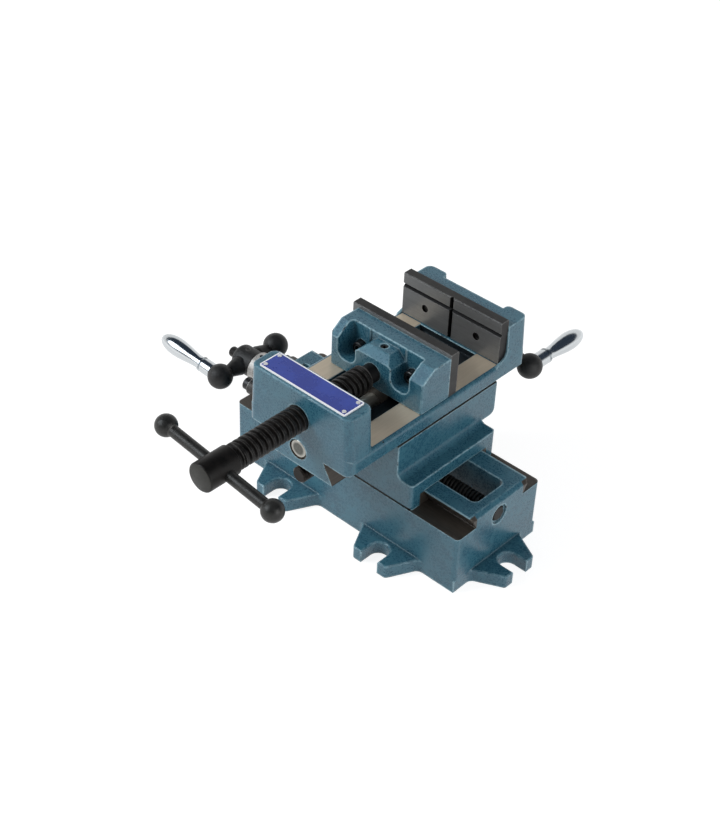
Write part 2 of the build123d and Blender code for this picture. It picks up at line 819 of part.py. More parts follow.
# Vise body
def body_bed():
    half = body_width / 2
    bottom = cross_dovetail_bottom
    foot = body_foot_chamfer
    section = mirrored([
        (cross_dovetail_width / 2, bottom),
        (cross_root, body_land),
        (half - foot, body_land),
        (half, body_land + foot),
        (half, bed_height),
    ])
    edges = [(half, bed_height), (-half, bed_height)]
    bed = rounded_bar_along_y(section, edges, bed_edge_radius, body_front, fixed_jaw_rear)
    plan = Rectangle(body_width, fixed_jaw_rear - body_front)
    plan = fillet(plan.vertices().group_by(Axis.Y)[0], body_corner_radius)
    plan = fillet(plan.vertices().group_by(Axis.Y)[-1], fixed_jaw_radius - fixed_jaw_ledge)
    bed = bed & Pos(0, (body_front + fixed_jaw_rear) / 2) * extrude(plan, amount=bed_height + 1)
    foot_top = body_land + rear_foot_chamfer
    foot_start = fixed_jaw_rear - rear_foot_chamfer
    corner = [(fixed_jaw_rear, foot_top), (foot_start, body_land), (foot_start, body_land - 1)]
    corner += [(fixed_jaw_rear + 1, body_land - 1), (fixed_jaw_rear + 1, foot_top)]
    for side in (-1, 1):
        inner = side * (cross_dovetail_width / 2 + 2)
        outer = side * (half + 1)
        bed -= bar_along_x(corner, min(inner, outer), max(inner, outer))
    pad = [(cross_dovetail_width / 2, bottom), (cross_root, body_land)]
    pad += [(cross_dovetail_width / 2, body_land), (cross_dovetail_width / 2, bed_height - 1)]
    return bed + bar_along_y(mirrored(pad), fixed_jaw_rear - rear_pad_length, fixed_jaw_rear)


def front_block():
    half = body_width / 2
    top = front_block_top_width / 2
    tall = bar_along_y(mirrored([(half, body_land + 4), (top, front_block_top)]), body_front, block_rear)
    upright = [edge for edge in tall.edges() if abs((edge @ 0).Z - (edge @ 1).Z) > 10]
    tall = fillet(upright, body_corner_radius)
    return fillet(tall.edges().group_by(Axis.Z)[-1], front_block_rim)


def fixed_jaw():
    # Upright with a seat for the fixed plate, thicker lugs at its ends and cheeks that ramp down to the bed
    half = body_width / 2
    top = jaw_plate_width / 2 + fixed_jaw_overhang
    start = fixed_plate_back - cheek_ramp_length
    side = [(half, bed_height - bed_edge_radius), (top, fixed_jaw_top)]
    upright = bar_along_y(mirrored(side), start, fixed_jaw_rear)
    corners = [edge for edge in upright.edges() if is_upright(edge) and (edge @ 0.5).Y > fixed_jaw_rear - 0.1]
    upright = fillet(corners, fixed_jaw_radius)
    inner = top - fixed_jaw_lug_width
    middle = fixed_plate_back + fixed_jaw_web
    hollow = [(inner, bed_height + 2), (inner + fixed_jaw_lug_lean, fixed_jaw_top + 1)]
    upright -= bar_along_y(mirrored(hollow), middle, fixed_jaw_rear + 1)
    lips = [edge for edge in upright.edges() if is_lug_lip(edge)]
    upright = fillet(lips, fixed_jaw_lug_radius)
    seat = jaw_plate_width / 2 + side_clearance
    upright -= block(-seat, seat, start - 1, fixed_plate_back, bed_height, fixed_jaw_top + 1)
    return upright - bar_along_x(above_cheek_ramp(), -body_width, body_width)


def is_upright(edge):
    return abs((edge @ 0).Z - (edge @ 1).Z) > 10


def is_lug_lip(edge):
    point = edge @ 0.5
    inner = jaw_plate_width / 2 + fixed_jaw_overhang - fixed_jaw_lug_width
    near_lip = abs(abs(point.X) - inner) < fixed_jaw_lug_lean + 0.1
    return is_upright(edge) and near_lip and point.Y > fixed_jaw_rear - 0.1


def above_cheek_ramp():
    # Side view of what is cut away over the ramps
    start = fixed_plate_back - cheek_ramp_length
    shoulder = fixed_plate_back - cheek_shoulder_back
    high = fixed_jaw_top + 1
    points = [(start - 1, bed_height), (start, bed_height), (shoulder, bed_height + cheek_shoulder_rise)]
    points.append((fixed_plate_back, bed_height + cheek_ramp_rise))
    return points + [(fixed_plate_back, high), (start - 1, high)]


def vise_body():
    bed = body_bed()
    bed += front_block()
    bed += fixed_jaw()
    rail = bed_rail_inner
    bed -= block(-rail, rail, block_rear, fixed_plate_face - 1.2, bed_ledge_height, bed_height + 1)
    slot = tongue_slot_width / 2
    slot_start = block_rear + tongue_slot_start
    bed -= block(-slot, slot, slot_start, tongue_slot_end, cross_dovetail_bottom - 1, bed_height + 1)
    screw_bore = clamp_thread_diameter + 2 * thread_clearance
    bed -= rod_y(screw_bore, body_front - 1, block_rear + 1, 0, clamp_screw_height)
    bed -= rod_y(rod_diameter, body_front - 1, rod_end, 0, rod_height)
    mouth = body_front + rod_mouth_depth
    bed -= rod_y(rod_mouth_diameter, body_front - 1, mouth, 0, rod_height)
    for x in (-jaw_screw_spacing / 2, jaw_screw_spacing / 2):
        head = fixed_plate_back + fixed_jaw_web - m5[2] - 1
        bed -= rod_y(m5[0] + 0.4, fixed_plate_back - 1, head + 1, x, jaw_screw_height)
        bed -= rod_y(m5[1] + 0.8, head, fixed_jaw_rear + 5, x, jaw_screw_height)
    depth = bracket_screw_bite + screw_hole_spare
    for x in (-bracket_screw_spacing / 2, bracket_screw_spacing / 2):
        height = body_screw_height + body_bracket_drop
        bed -= rod_y(m5[0], fixed_jaw_rear - depth, fixed_jaw_rear + 1, x, height)
    return one_solid(bed)


def guide_rod():
    start = body_front + rod_front_step
    rod = rod_y(rod_diameter - 2 * rod_seat, start, rod_end - seat_gap, 0, rod_height)
    return chamfer(rod.edges().filter_by(GeomType.CIRCLE), 0.6)


# Jaw plates, given by the limit that is nearer to the handle
def jaw_plate(low):
    half = jaw_plate_width / 2
    plate = block(-half, half, low, low + jaw_plate_thickness, jaw_bottom, jaw_plate_top)
    plate = chamfer(plate.edges().filter_by(Axis.X), 0.5)
    for x in (-jaw_screw_spacing / 2, jaw_screw_spacing / 2):
        plate -= rod_y(m5[0], low - 1, low + jaw_plate_thickness + 1, x, jaw_screw_height)
    return plate


def fixed_jaw_plate():
    # Grips round stock in one level and one upright V groove
    plate = jaw_plate(fixed_plate_face)
    wide = v_groove_width / 2
    level = jaw_plate_top - v_groove_drop
    face = fixed_plate_face
    level_cut = [(face - 0.1, level - wide), (face + v_groove_depth, level), (face - 0.1, level + wide)]
    plate -= bar_along_x(level_cut, -jaw_plate_width, jaw_plate_width)
    corners = [(-wide, face - 0.1), (0, face + v_groove_depth), (wide, face - 0.1)]
    upright = make_face(Polyline(*corners, close=True))
    plate -= Pos(0, 0, bed_height - 1) * extrude(upright, amount=jaw_plate_height + 3)
    return one_solid(plate)


def fixed_plate_screws():
    head = fixed_plate_back + fixed_jaw_web - m5[2] - 1
    length = head - fixed_plate_face - plate_screw_gap
    places = (-jaw_screw_spacing / 2, jaw_screw_spacing / 2)
    return [placed(socket_screw(m5, length), (x, head, jaw_screw_height), (0, 1, 0)) for x in places]


# Movable jaw
def jaw_outline():
    # Sloped at the front, set in from the plate's left end and rounded there
    front = moving_jaw_front
    slope = front + moving_jaw_slope_run
    points = [(front, jaw_bottom), (front, moving_jaw_top - moving_jaw_slope_drop), (slope, moving_jaw_top)]
    points += [(moving_plate_back, moving_jaw_top), (moving_plate_back, jaw_bottom)]
    right = jaw_plate_width / 2
    left = moving_jaw_inset - right
    plan = Rectangle(right - left, moving_jaw_depth)
    front_corners = plan.vertices().group_by(Axis.Y)[0].sort_by(Axis.X)
    plan = chamfer(front_corners[1], moving_jaw_edge)
    front_corners = plan.vertices().group_by(Axis.Y)[0].sort_by(Axis.X)
    plan = fillet(front_corners[0], moving_jaw_radius)
    centre = Pos((left + right) / 2, (front + moving_plate_back) / 2)
    return bar_along_x(points, left, right) & centre * extrude(plan, amount=moving_jaw_top + 1)


def jaw_bowl(side):
    # Round-cornered pocket that gives the plate screw its seat
    x = side * bowl_half_spacing
    frame = Plane(origin=(x, bowl_back, moving_jaw_top), x_dir=(1, 0, 0), z_dir=(0, -1, 0))
    mouth = RectangleRounded(bowl_width, 2 * bowl_depth, bowl_radius)
    pocket = extrude(mouth, amount=moving_jaw_depth)
    pocket = frame * fillet(pocket.edges().group_by(Axis.Z)[0], bowl_back_radius)
    seat = bowl_back + bowl_seat_depth
    screw_x = side * jaw_screw_spacing / 2
    return pocket + rod_y(m5[1] + 0.8, bowl_back - 2 * bowl_back_radius, seat, screw_x, jaw_screw_height)


def boss_trim():
    # Cuts that leave the screw boss lower than the jaw, with sloping shoulders
    flat = boss_flat_width / 2
    edge = bowl_half_spacing - bowl_width / 2 + 0.1
    low = boss_top - boss_facet_drop
    half = [(flat, boss_top), (edge, low), (edge, moving_jaw_top + 1)]
    return bar_along_y(mirrored(half), moving_jaw_front - 1, bowl_back)


def movable_jaw():
    casting = jaw_outline()
    casting -= boss_trim()
    for side in (-1, 1):
        casting -= jaw_bowl(side)
    half = tongue_width / 2
    foot = jaw_bottom - tongue_drop
    tongue = block(-half, half, tongue_rear - tongue_length, tongue_rear, foot, jaw_bottom + 2)
    tongue = chamfer(tongue.edges().group_by(Axis.Z)[0], 0.8)
    casting += tongue
    casting -= rod_y(rod_diameter + 2 * fit_clearance, body_front, fixed_plate_face, 0, rod_height)
    journal_end = moving_jaw_front + clamp_journal_length + seat_gap
    journal_bore = clamp_journal_diameter + 2 * fit_clearance
    casting -= rod_y(journal_bore, moving_jaw_front - 1, journal_end, 0, clamp_screw_height)
    for x in (-jaw_screw_spacing / 2, jaw_screw_spacing / 2):
        casting -= rod_y(m5[0] + 0.4, bowl_back, moving_plate_back + 1, x, jaw_screw_height)
    casting -= rod_z(m5[0], clamp_screw_height, boss_top + 1, 0, retainer_place)
    return one_solid(casting)


def movable_plate_screws():
    seat = bowl_back + bowl_seat_depth
    length = moving_plate_face - plate_screw_gap - seat
    places = (-jaw_screw_spacing / 2, jaw_screw_spacing / 2)
    return [placed(socket_screw(m5, length), (x, seat, jaw_screw_height), (0, -1, 0)) for x in places]


def screw_retainer():
    # Dog-point screw whose tip rides in the waist of the clamping screw
    top = boss_top - 0.8
    tip = clamp_screw_height + clamp_waist_diameter / 2 + seat_gap
    shoulder = clamp_screw_height + clamp_journal_diameter / 2 + 0.4
    body = m5[0] / 2
    profile = [(0, tip), (1.6, tip), (1.6, shoulder), (body, shoulder + 0.6), (body, top), (0, top)]
    recess = extrude(RegularPolygon(1.25, 6, major_radius=False), amount=2.5)
    return Pos(0, retainer_place, 0) * (turned(profile) - Pos(0, 0, top - 2.5) * recess)


# Clamping screw
def jaw_screw():
    thread = clamp_thread_diameter / 2
    hub = clamp_hub_diameter / 2
    journal = clamp_journal_diameter / 2
    waist = clamp_waist_diameter / 2
    length = moving_jaw_front - hub_front
    end = length + clamp_journal_length
    waist_centre = retainer_place - hub_front
    before = waist_centre - clamp_waist_width / 2
    after = waist_centre + clamp_waist_width / 2
    shoulder = length - clamp_shoulder_gap
    rim = clamp_hub_length
    profile = [(0, 0), (hub - 0.8, 0), (hub, 0.8), (hub, rim - 0.8), (hub - 0.8, rim)]
    profile += [(thread, rim), (thread, shoulder - 1), (thread - 1, shoulder), (journal, shoulder)]
    profile += [(journal, before), (waist, before), (waist, after), (journal, after)]
    profile += [(journal, end - 0.8), (journal - 0.8, end), (0, end)]
    screw = Plane(origin=(0, hub_front, clamp_screw_height), z_dir=(0, 1, 0)) * turned(profile)
    hole = bar_frame() * Cylinder(bar_diameter / 2 + fit_clearance, 2 * clamp_hub_diameter)
    return one_solid(screw - hole)


def bar_frame():
    # Middle of the bar, Z along it, towards +X and down
    lean = radians(bar_tilt)
    return Plane(origin=(0, bar_centre, clamp_screw_height), z_dir=(cos(lean), 0, -sin(lean)))


def handle_bar():
    half = bar_ball_spacing / 2 - bar_ball_diameter / 2 + bar_ball_socket
    bar = Cylinder(bar_diameter / 2, 2 * half)
    return bar_frame() * chamfer(bar.edges().filter_by(GeomType.CIRCLE), 0.4)


def handle_balls():
    balls = []
    for side in (-1, 1):
        centre = side * bar_ball_spacing / 2
        ball = Pos(0, 0, centre) * Sphere(bar_ball_diameter / 2)
        socket = bar_ball_spacing / 2 - bar_ball_diameter / 2 + bar_ball_socket
        ball -= Cylinder(bar_diameter / 2, 2 * socket)
        balls.append(bar_frame() * one_solid(ball))
    return balls


# Name plate
def name_plate():
    outline = RectangleRounded(plate_length, plate_depth, plate_corner_radius)
    y = (body_front + block_rear) / 2
    return Pos(0, y, front_block_top) * extrude(outline, amount=plate_thickness)


def plate_rivets():
    y = (body_front + block_rear) / 2
    dx = plate_length / 2 - rivet_inset
    dy = plate_depth / 2 - rivet_inset
    head = Pos(0, 0, rivet_height / 2) * Cylinder(rivet_diameter / 2, rivet_height)
    head = fillet(head.edges().group_by(Axis.Z)[-1], rivet_height * 0.6)
    base_height = front_block_top + plate_thickness
    return [Pos(i * dx, y + j * dy, base_height) * head for i in (-1, 1) for j in (-1, 1)]


def bracket_screws(drop):
    length = bracket_plate + bracket_screw_bite
    places = (-bracket_screw_spacing / 2, bracket_screw_spacing / 2)
    return [Pos(x, drop, bracket_plate) * socket_screw(m5, length) for x in places]


def save_base():
    save("base", base())
    save("x_bracket", base_axis() * one_solid(oval_bracket()))
    save("x_bracket_screws", *[base_axis() * screw for screw in bracket_screws(0)])


def save_saddle():
    shift = Pos(saddle_shift, 0, 0)
    save("saddle", shift * saddle())
    save("x_gib", shift * x_gib())
    save("x_gib_screws", *[shift * piece for piece in x_gib_screws()])
    save("x_gib_nuts", *[shift * piece for piece in x_gib_nuts()])
    save("y_gib", shift * y_gib())
    save("y_gib_screws", *[shift * piece for piece in y_gib_screws()])
    save("y_gib_nuts", *[shift * piece for piece in y_gib_nuts()])
    save("x_nut", shift * x_nut())
    save("x_nut_screws", *[shift * piece for piece in x_nut_screws()])
    save("y_nut", shift * y_nut())
    save("y_nut_screws", *[shift * piece for piece in y_nut_screws()])


def save_body():
    shift = Pos(saddle_shift, 0, 0)
    save("vise_body", shift * vise_body())
    save("y_bracket", body_axis() * one_solid(hanging_bracket()))
    save("y_bracket_screws", *[body_axis() * screw for screw in bracket_screws(-body_bracket_drop)])
    save("fixed_jaw_plate", shift * fixed_jaw_plate())
    save("fixed_plate_screws", *[shift * piece for piece in fixed_plate_screws()])
    save("guide_rod", shift * guide_rod())
    save("name_plate", shift * name_plate())
    save("plate_rivets", *[shift * piece for piece in plate_rivets()])


def save_moving_jaw():
    shift = Pos(saddle_shift, 0, 0)
    save("movable_jaw", shift * movable_jaw())
    save("movable_jaw_plate", shift * jaw_plate(moving_plate_back))
    save("movable_plate_screws", *[shift * piece for piece in movable_plate_screws()])
    save("screw_retainer", shift * screw_retainer())
    save("jaw_screw", shift * jaw_screw())
    save("handle_bar", shift * handle_bar())
    save("handle_balls", *[shift * piece for piece in handle_balls()])


os.makedirs("parts", exist_ok=True)
save_base()
save_saddle()
save_body()
save_moving_jaw()
crank_group("x", base_axis(), base_crank_angle, base_handle_lean, base_length - 0.5)
crank_group("y", body_axis(), body_crank_angle, body_handle_lean, fixed_jaw_rear - body_front - 1)
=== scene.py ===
import math

import bpy
import numpy as np
from mathutils import Matrix, Vector


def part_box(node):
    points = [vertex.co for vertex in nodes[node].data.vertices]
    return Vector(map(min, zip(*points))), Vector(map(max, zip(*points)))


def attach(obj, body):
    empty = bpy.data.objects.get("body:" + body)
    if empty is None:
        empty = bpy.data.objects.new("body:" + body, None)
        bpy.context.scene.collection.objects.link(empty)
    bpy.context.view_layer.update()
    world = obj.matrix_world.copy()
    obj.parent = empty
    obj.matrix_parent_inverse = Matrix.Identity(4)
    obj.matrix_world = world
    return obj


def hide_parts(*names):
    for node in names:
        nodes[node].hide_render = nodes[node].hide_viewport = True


# Cross slide vise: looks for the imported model. Metres, +Z up, the base stands on Z = 0.

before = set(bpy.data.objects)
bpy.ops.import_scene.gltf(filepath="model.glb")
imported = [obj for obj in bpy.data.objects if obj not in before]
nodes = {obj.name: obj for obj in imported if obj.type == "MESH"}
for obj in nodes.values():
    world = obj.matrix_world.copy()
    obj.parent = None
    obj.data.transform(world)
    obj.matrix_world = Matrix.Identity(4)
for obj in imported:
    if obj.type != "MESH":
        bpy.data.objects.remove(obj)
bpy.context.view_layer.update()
mm = 0.001
print("stage: frame loaded,", len(nodes), "nodes")


# Node helpers
def addNode(tree, kind, **values):
    node = tree.nodes.new(kind)
    for key, value in values.items():
        setattr(node, key, value)
    return node


def feed(tree, socket, value):
    # A socket is linked, anything else is set on the input itself
    if isinstance(value, bpy.types.NodeSocket):
        tree.links.new(value, socket)
    elif value is not None:
        socket.default_value = value


def maths(tree, operation, a, b=None, clamp=False):
    node = addNode(tree, "ShaderNodeMath", operation=operation, use_clamp=clamp)
    feed(tree, node.inputs[0], a)
    feed(tree, node.inputs[1], b)
    return node.outputs[0]


def times(tree, a, b):
    return maths(tree, "MULTIPLY", a, b)


def plus(tree, a, b):
    return maths(tree, "ADD", a, b)


def minus(tree, a, b):
    return maths(tree, "SUBTRACT", a, b)


def inverse(tree, mask):
    return minus(tree, 1.0, mask)


def most(tree, *masks):
    # The largest of the masks, or None when there is none
    whole = None
    for mask in masks:
        whole = mask if whole is None else maths(tree, "MAXIMUM", whole, mask)
    return whole


def weigh(tree, *parts):
    # Sum of value times weight over the pairs
    total = None
    for value, weight in parts:
        part = times(tree, value, weight)
        total = part if total is None else plus(tree, total, part)
    return total


def vectorMaths(tree, operation, a, b=None):
    node = addNode(tree, "ShaderNodeVectorMath", operation=operation)
    feed(tree, node.inputs[0], a)
    feed(tree, node.inputs[1], b)
    return node.outputs["Value" if operation in ("DOT_PRODUCT", "LENGTH") else "Vector"]


def splitAxes(tree, vector):
    node = addNode(tree, "ShaderNodeSeparateXYZ")
    feed(tree, node.inputs[0], vector)
    return node.outputs


def remap(tree, value, low, high, toLow=0.0, toHigh=1.0):
    node = addNode(tree, "ShaderNodeMapRange", interpolation_type="SMOOTHSTEP")
    limits = {"Value": value, "From Min": low, "From Max": high, "To Min": toLow, "To Max": toHigh}
    for name, item in limits.items():
        feed(tree, node.inputs[name], item)
    return node.outputs["Result"]


def blendColour(tree, factor, a, b):
    node = addNode(tree, "ShaderNodeMix", data_type="RGBA", blend_type="MIX")
    feed(tree, node.inputs[0], factor)
    feed(tree, node.inputs[6], a)
    feed(tree, node.inputs[7], b)
    return node.outputs[2]


def layered(tree, colour, *layers):
    # Each layer, a mask and its colour, covers what is under it
    for mask, cover in layers:
        colour = blendColour(tree, mask, colour, cover)
    return colour


def noiseOf(tree, point, scale, detail, roughness):
    node = addNode(tree, "ShaderNodeTexNoise")
    feed(tree, node.inputs["Vector"], point)
    feed(tree, node.inputs["Scale"], scale)
    feed(tree, node.inputs["Detail"], detail)
    feed(tree, node.inputs["Roughness"], roughness)
    return node.outputs["Fac"]


def newGroup(name, inputs, outputs):
    tree = bpy.data.node_groups.new(name, "ShaderNodeTree")
    for title, kind, value in inputs:
        socket = tree.interface.new_socket(name=title, in_out="INPUT",
                                           socket_type="NodeSocket" + kind)
        if value is not None:
            socket.default_value = value
    for title in outputs:
        tree.interface.new_socket(name=title, in_out="OUTPUT", socket_type="NodeSocketFloat")
    return tree, addNode(tree, "NodeGroupInput").outputs, addNode(tree, "NodeGroupOutput").inputs


def useGroup(tree, group, **values):
    node = addNode(tree, "ShaderNodeGroup", node_tree=group)
    for name, value in values.items():
        feed(tree, node.inputs[name], value)
    return node.outputs


def srgb(red, green, blue):
    # 0-255 screen colour to the linear value that a socket takes
    parts = []
    for part in (red, green, blue):
        part = part / 255
        parts.append(part / 12.92 if part <= 0.04045 else ((part + 0.055) / 1.055) ** 2.4)
    return (*parts, 1.0)


# Shared effects
def makeBoxMask():
    # 1 inside the box Low..High, 0 outside: the least distance to the six faces, over Soft
    tree, given, out = newGroup(
        "boxMask",
        [("Point", "Vector", None), ("Low", "Vector", None), ("High", "Vector", None),
         ("Soft", "Float", 0.0002)],
        ["Mask"])
    above = vectorMaths(tree, "SUBTRACT", given["Point"], given["Low"])
    below = vectorMaths(tree, "SUBTRACT", given["High"], given["Point"])
    nearest = splitAxes(tree, vectorMaths(tree, "MINIMUM", above, below))
    least = maths(tree, "MINIMUM", nearest[0], nearest[1])
    least = maths(tree, "MINIMUM", least, nearest[2])
    feed(tree, out["Mask"], maths(tree, "DIVIDE", least, given["Soft"], clamp=True))
    return tree


wearAndPaintedLightLook = {
    "reach": 0.0012,  # how far in from a corner the wear and the painted edge and inner-corner highlights go
    "depth": 0.006,  # how far out a hollow looks for its walls, for the painted shade
    "samples": 6,
    "rootSamples": 4,
    "patches": (420.0, 3.0, 0.6),  # scale, detail and roughness of the noise that breaks it up
    "patchRange": (0.3, 0.62, 0.55, 1.5),
    "edgeRange": (0.10, 0.40),
    "rootRange": (0.18, 0.5),
}


def enclosure(tree, reach, samples, inside=False):
    # Share of the half sphere over a point that is closed off within reach
    node = addNode(tree, "ShaderNodeAmbientOcclusion", inside=inside, only_local=True,
                   samples=samples)
    feed(tree, node.inputs["Distance"], reach)
    return inverse(tree, node.outputs["AO"])


def makeWearAndPaintedLight():
    # Edge: how enclosed the inside is, which peaks at outer corners; it marks worn chips and a
    # painted edge highlight
    # Hollow: the same outside, for deep corners, where shade is painted
    # Root: the same outside within Reach, for the line where two faces meet in an inner corner,
    # where a painted highlight goes
    tree, given, out = newGroup(
        "wearAndPaintedLight",
        [("Point", "Vector", None), ("Reach", "Float", wearAndPaintedLightLook["reach"]),
         ("Depth", "Float", wearAndPaintedLightLook["depth"])],
        ["Edge", "Hollow", "Root"])
    patches = noiseOf(tree, given["Point"], *wearAndPaintedLightLook["patches"])
    corner = enclosure(tree, given["Reach"], wearAndPaintedLightLook["samples"], inside=True)
    wornAndLitEdge = times(tree, corner, remap(tree, patches, *wearAndPaintedLightLook["patchRange"]))
    feed(tree, out["Edge"], remap(tree, wornAndLitEdge, *wearAndPaintedLightLook["edgeRange"]))
    feed(tree, out["Hollow"], enclosure(tree, given["Depth"], wearAndPaintedLightLook["samples"]))
    root = enclosure(tree, given["Reach"], wearAndPaintedLightLook["rootSamples"])
    feed(tree, out["Root"], remap(tree, root, *wearAndPaintedLightLook["rootRange"]))
    return tree


skinLook = {
    # Scale, detail and roughness of each noise
    "cloud": (42.0, 3.0, 0.6),
    "lump": (150.0, 2.0, 0.5),
    "grain": (860.0, 3.0, 0.65),
    "chip": (110.0, 5.0, 0.7),
    "pitScale": 95.0,
    "pitChosen": 0.90,  # cells above this value hold a pit
    "pitRange": (0.03, 0.075, 1.0, 0.0),
    "pitDepth": 2.5,
    "heightMix": (0.6, 0.6),  # lump and grain
    "toneMix": (0.22, 0.22, 0.56),  # cloud, lump and grain
}


def makeCastSkin():
    # Enamel over sand casting: low lumps, a fine hammered grain and rare pits
    # Tone mixes grain, lumps and slow clouds
    tree, given, out = newGroup("castSkin", [("Point", "Vector", None)],
                                ["Height", "Tone", "Pit", "Chip"])
    point = given["Point"]
    cloud, lump, grain, chip = (noiseOf(tree, point, *skinLook[name])
                                for name in ("cloud", "lump", "grain", "chip"))
    spots = addNode(tree, "ShaderNodeTexVoronoi", feature="F1")
    feed(tree, spots.inputs["Vector"], point)
    feed(tree, spots.inputs["Scale"], skinLook["pitScale"])
    rare = addNode(tree, "ShaderNodeSeparateColor")
    feed(tree, rare.inputs[0], spots.outputs["Color"])
    chosen = maths(tree, "GREATER_THAN", rare.outputs[0], skinLook["pitChosen"])
    pit = times(tree, remap(tree, spots.outputs["Distance"], *skinLook["pitRange"]), chosen)
    height = weigh(tree, *zip((lump, grain), skinLook["heightMix"]))
    feed(tree, out["Height"], minus(tree, height, times(tree, pit, skinLook["pitDepth"])))
    feed(tree, out["Tone"], weigh(tree, *zip((cloud, lump, grain), skinLook["toneMix"])))
    feed(tree, out["Pit"], pit)
    feed(tree, out["Chip"], chip)
    return tree


# Detail and roughness of each noise, and how the two are mixed into the tone
cutLook = {"scale": 900.0, "fine": (4.0, 0.65), "broad": (3.0, 0.5), "broadScale": 0.13,
           "mix": (0.7, 0.3)}
mottleLook = {"scale": 120.0, "coarse": (3.0, 0.55), "fine": (4.0, 0.6), "fineScale": 6.0,
              "mix": (0.7, 0.3)}


def makeCutMarks():
    # Parallel marks of a cutter or grinding wheel: noise drawn out along one direction by Stretch
    tree, given, out = newGroup(
        "cutMarks",
        [("Point", "Vector", None), ("Stretch", "Vector", (1.0, 1.0, 1.0)),
         ("Scale", "Float", cutLook["scale"])],
        ["Height", "Tone"])
    drawn = vectorMaths(tree, "MULTIPLY", given["Point"], given["Stretch"])
    fine = noiseOf(tree, drawn, given["Scale"], *cutLook["fine"])
    broadScale = times(tree, given["Scale"], cutLook["broadScale"])
    broad = noiseOf(tree, drawn, broadScale, *cutLook["broad"])
    feed(tree, out["Height"], fine)
    feed(tree, out["Tone"], weigh(tree, *zip((fine, broad), cutLook["mix"])))
    return tree


def makeMottle():
    # Cloudy film of oxide or oil: a coarse noise with a finer one over it
    tree, given, out = newGroup(
        "mottle", [("Point", "Vector", None), ("Scale", "Float", mottleLook["scale"])],
        ["Tone", "Height"])
    coarse = noiseOf(tree, given["Point"], given["Scale"], *mottleLook["coarse"])
    fineScale = times(tree, given["Scale"], mottleLook["fineScale"])
    fine = noiseOf(tree, given["Point"], fineScale, *mottleLook["fine"])
    feed(tree, out["Tone"], weigh(tree, *zip((coarse, fine), mottleLook["mix"])))
    feed(tree, out["Height"], fine)
    return tree


boxMask = makeBoxMask()
wearAndPaintedLight = makeWearAndPaintedLight()
castSkin = makeCastSkin()
cutMarks = makeCutMarks()
mottle = makeMottle()
print("stage: shared effects ready")


def newMaterial(name, **sockets):
    material = bpy.data.materials.new(name)
    material.use_nodes = True
    tree = material.node_tree
    tree.nodes.clear()
    shader = addNode(tree, "ShaderNodeBsdfPrincipled")
    surface = addNode(tree, "ShaderNodeOutputMaterial")
    tree.links.new(shader.outputs[0], surface.inputs[0])
    for title, value in sockets.items():
        shader.inputs[title.replace("_", " ")].default_value = value
    point = addNode(tree, "ShaderNodeTexCoord").outputs["Object"]
    return material, tree, shader, point


def bumpFrom(tree, shader, height, distance, rounding=0.0):
    # rounding: how wide the light breaks over a sharp corner, as it does over the real one's radius
    node = addNode(tree, "ShaderNodeBump")
    node.inputs["Distance"].default_value = distance
    if rounding > 0:
        soft = addNode(tree, "ShaderNodeBevel", samples=4)
        soft.inputs["Radius"].default_value = rounding
        feed(tree, node.inputs["Normal"], soft.outputs["Normal"])
    feed(tree, node.inputs["Height"], height)
    feed(tree, shader.inputs["Normal"], node.outputs["Normal"])


def inMetres(point):
    return [value * mm for value in point]


def unionOfBoxes(tree, point, boxes):
    # 1 inside any of the boxes, whose corners are in mm
    return most(tree, *(useGroup(tree, boxMask, Point=point, Low=inMetres(low),
                                 High=inMetres(high))["Mask"] for low, high in boxes))


# Directions of grinding and cutting marks
alongX = (0.04, 1.0, 1.0)
alongY = (1.0, 0.04, 1.0)
allRound = (1.0, 1.0, 1.0)

# Enamelled castings with machined ways. A range is where a value starts and stops to count,
# here and below, and its third and fourth numbers are what these two ends become
enamel = {
    "light": srgb(60, 109, 126),
    "dark": srgb(42, 85, 104),
    # colour of the painted shade in deep corners
    "hollow": srgb(18, 38, 54),
    # colour of the painted highlight on outer edges and along inner corners
    "edge": srgb(158, 194, 206),
    "chip": srgb(34, 44, 50),
    "pit": srgb(14, 22, 28),
    # colour of the painted shadow line along joints; its specular is below
    "seamShadow": srgb(5, 7, 8),
    "toneRange": (0.38, 0.63),
    "hollowRange": (0.10, 0.80, 0.0, 0.85),
    "chipRange": (0.56, 0.62),
    "roughRange": (0.3, 0.7, 0.22, 0.36),
    "specular": 0.5,
    "seamShadowSpecular": 0.05,
    "bump": 0.00014,
    "rounding": 0.0014,
    # how strongly the painted highlight covers outer edges and inner-corner lines
    "glint": 0.85,
    "rootGlint": 0.42,
    "marks": 1500.0,
    "bareTone": (0.30, 0.70),
    "bareMetallic": 0.4,
    "bareRough": 0.06,
    "bareScratch": 0.12,
}


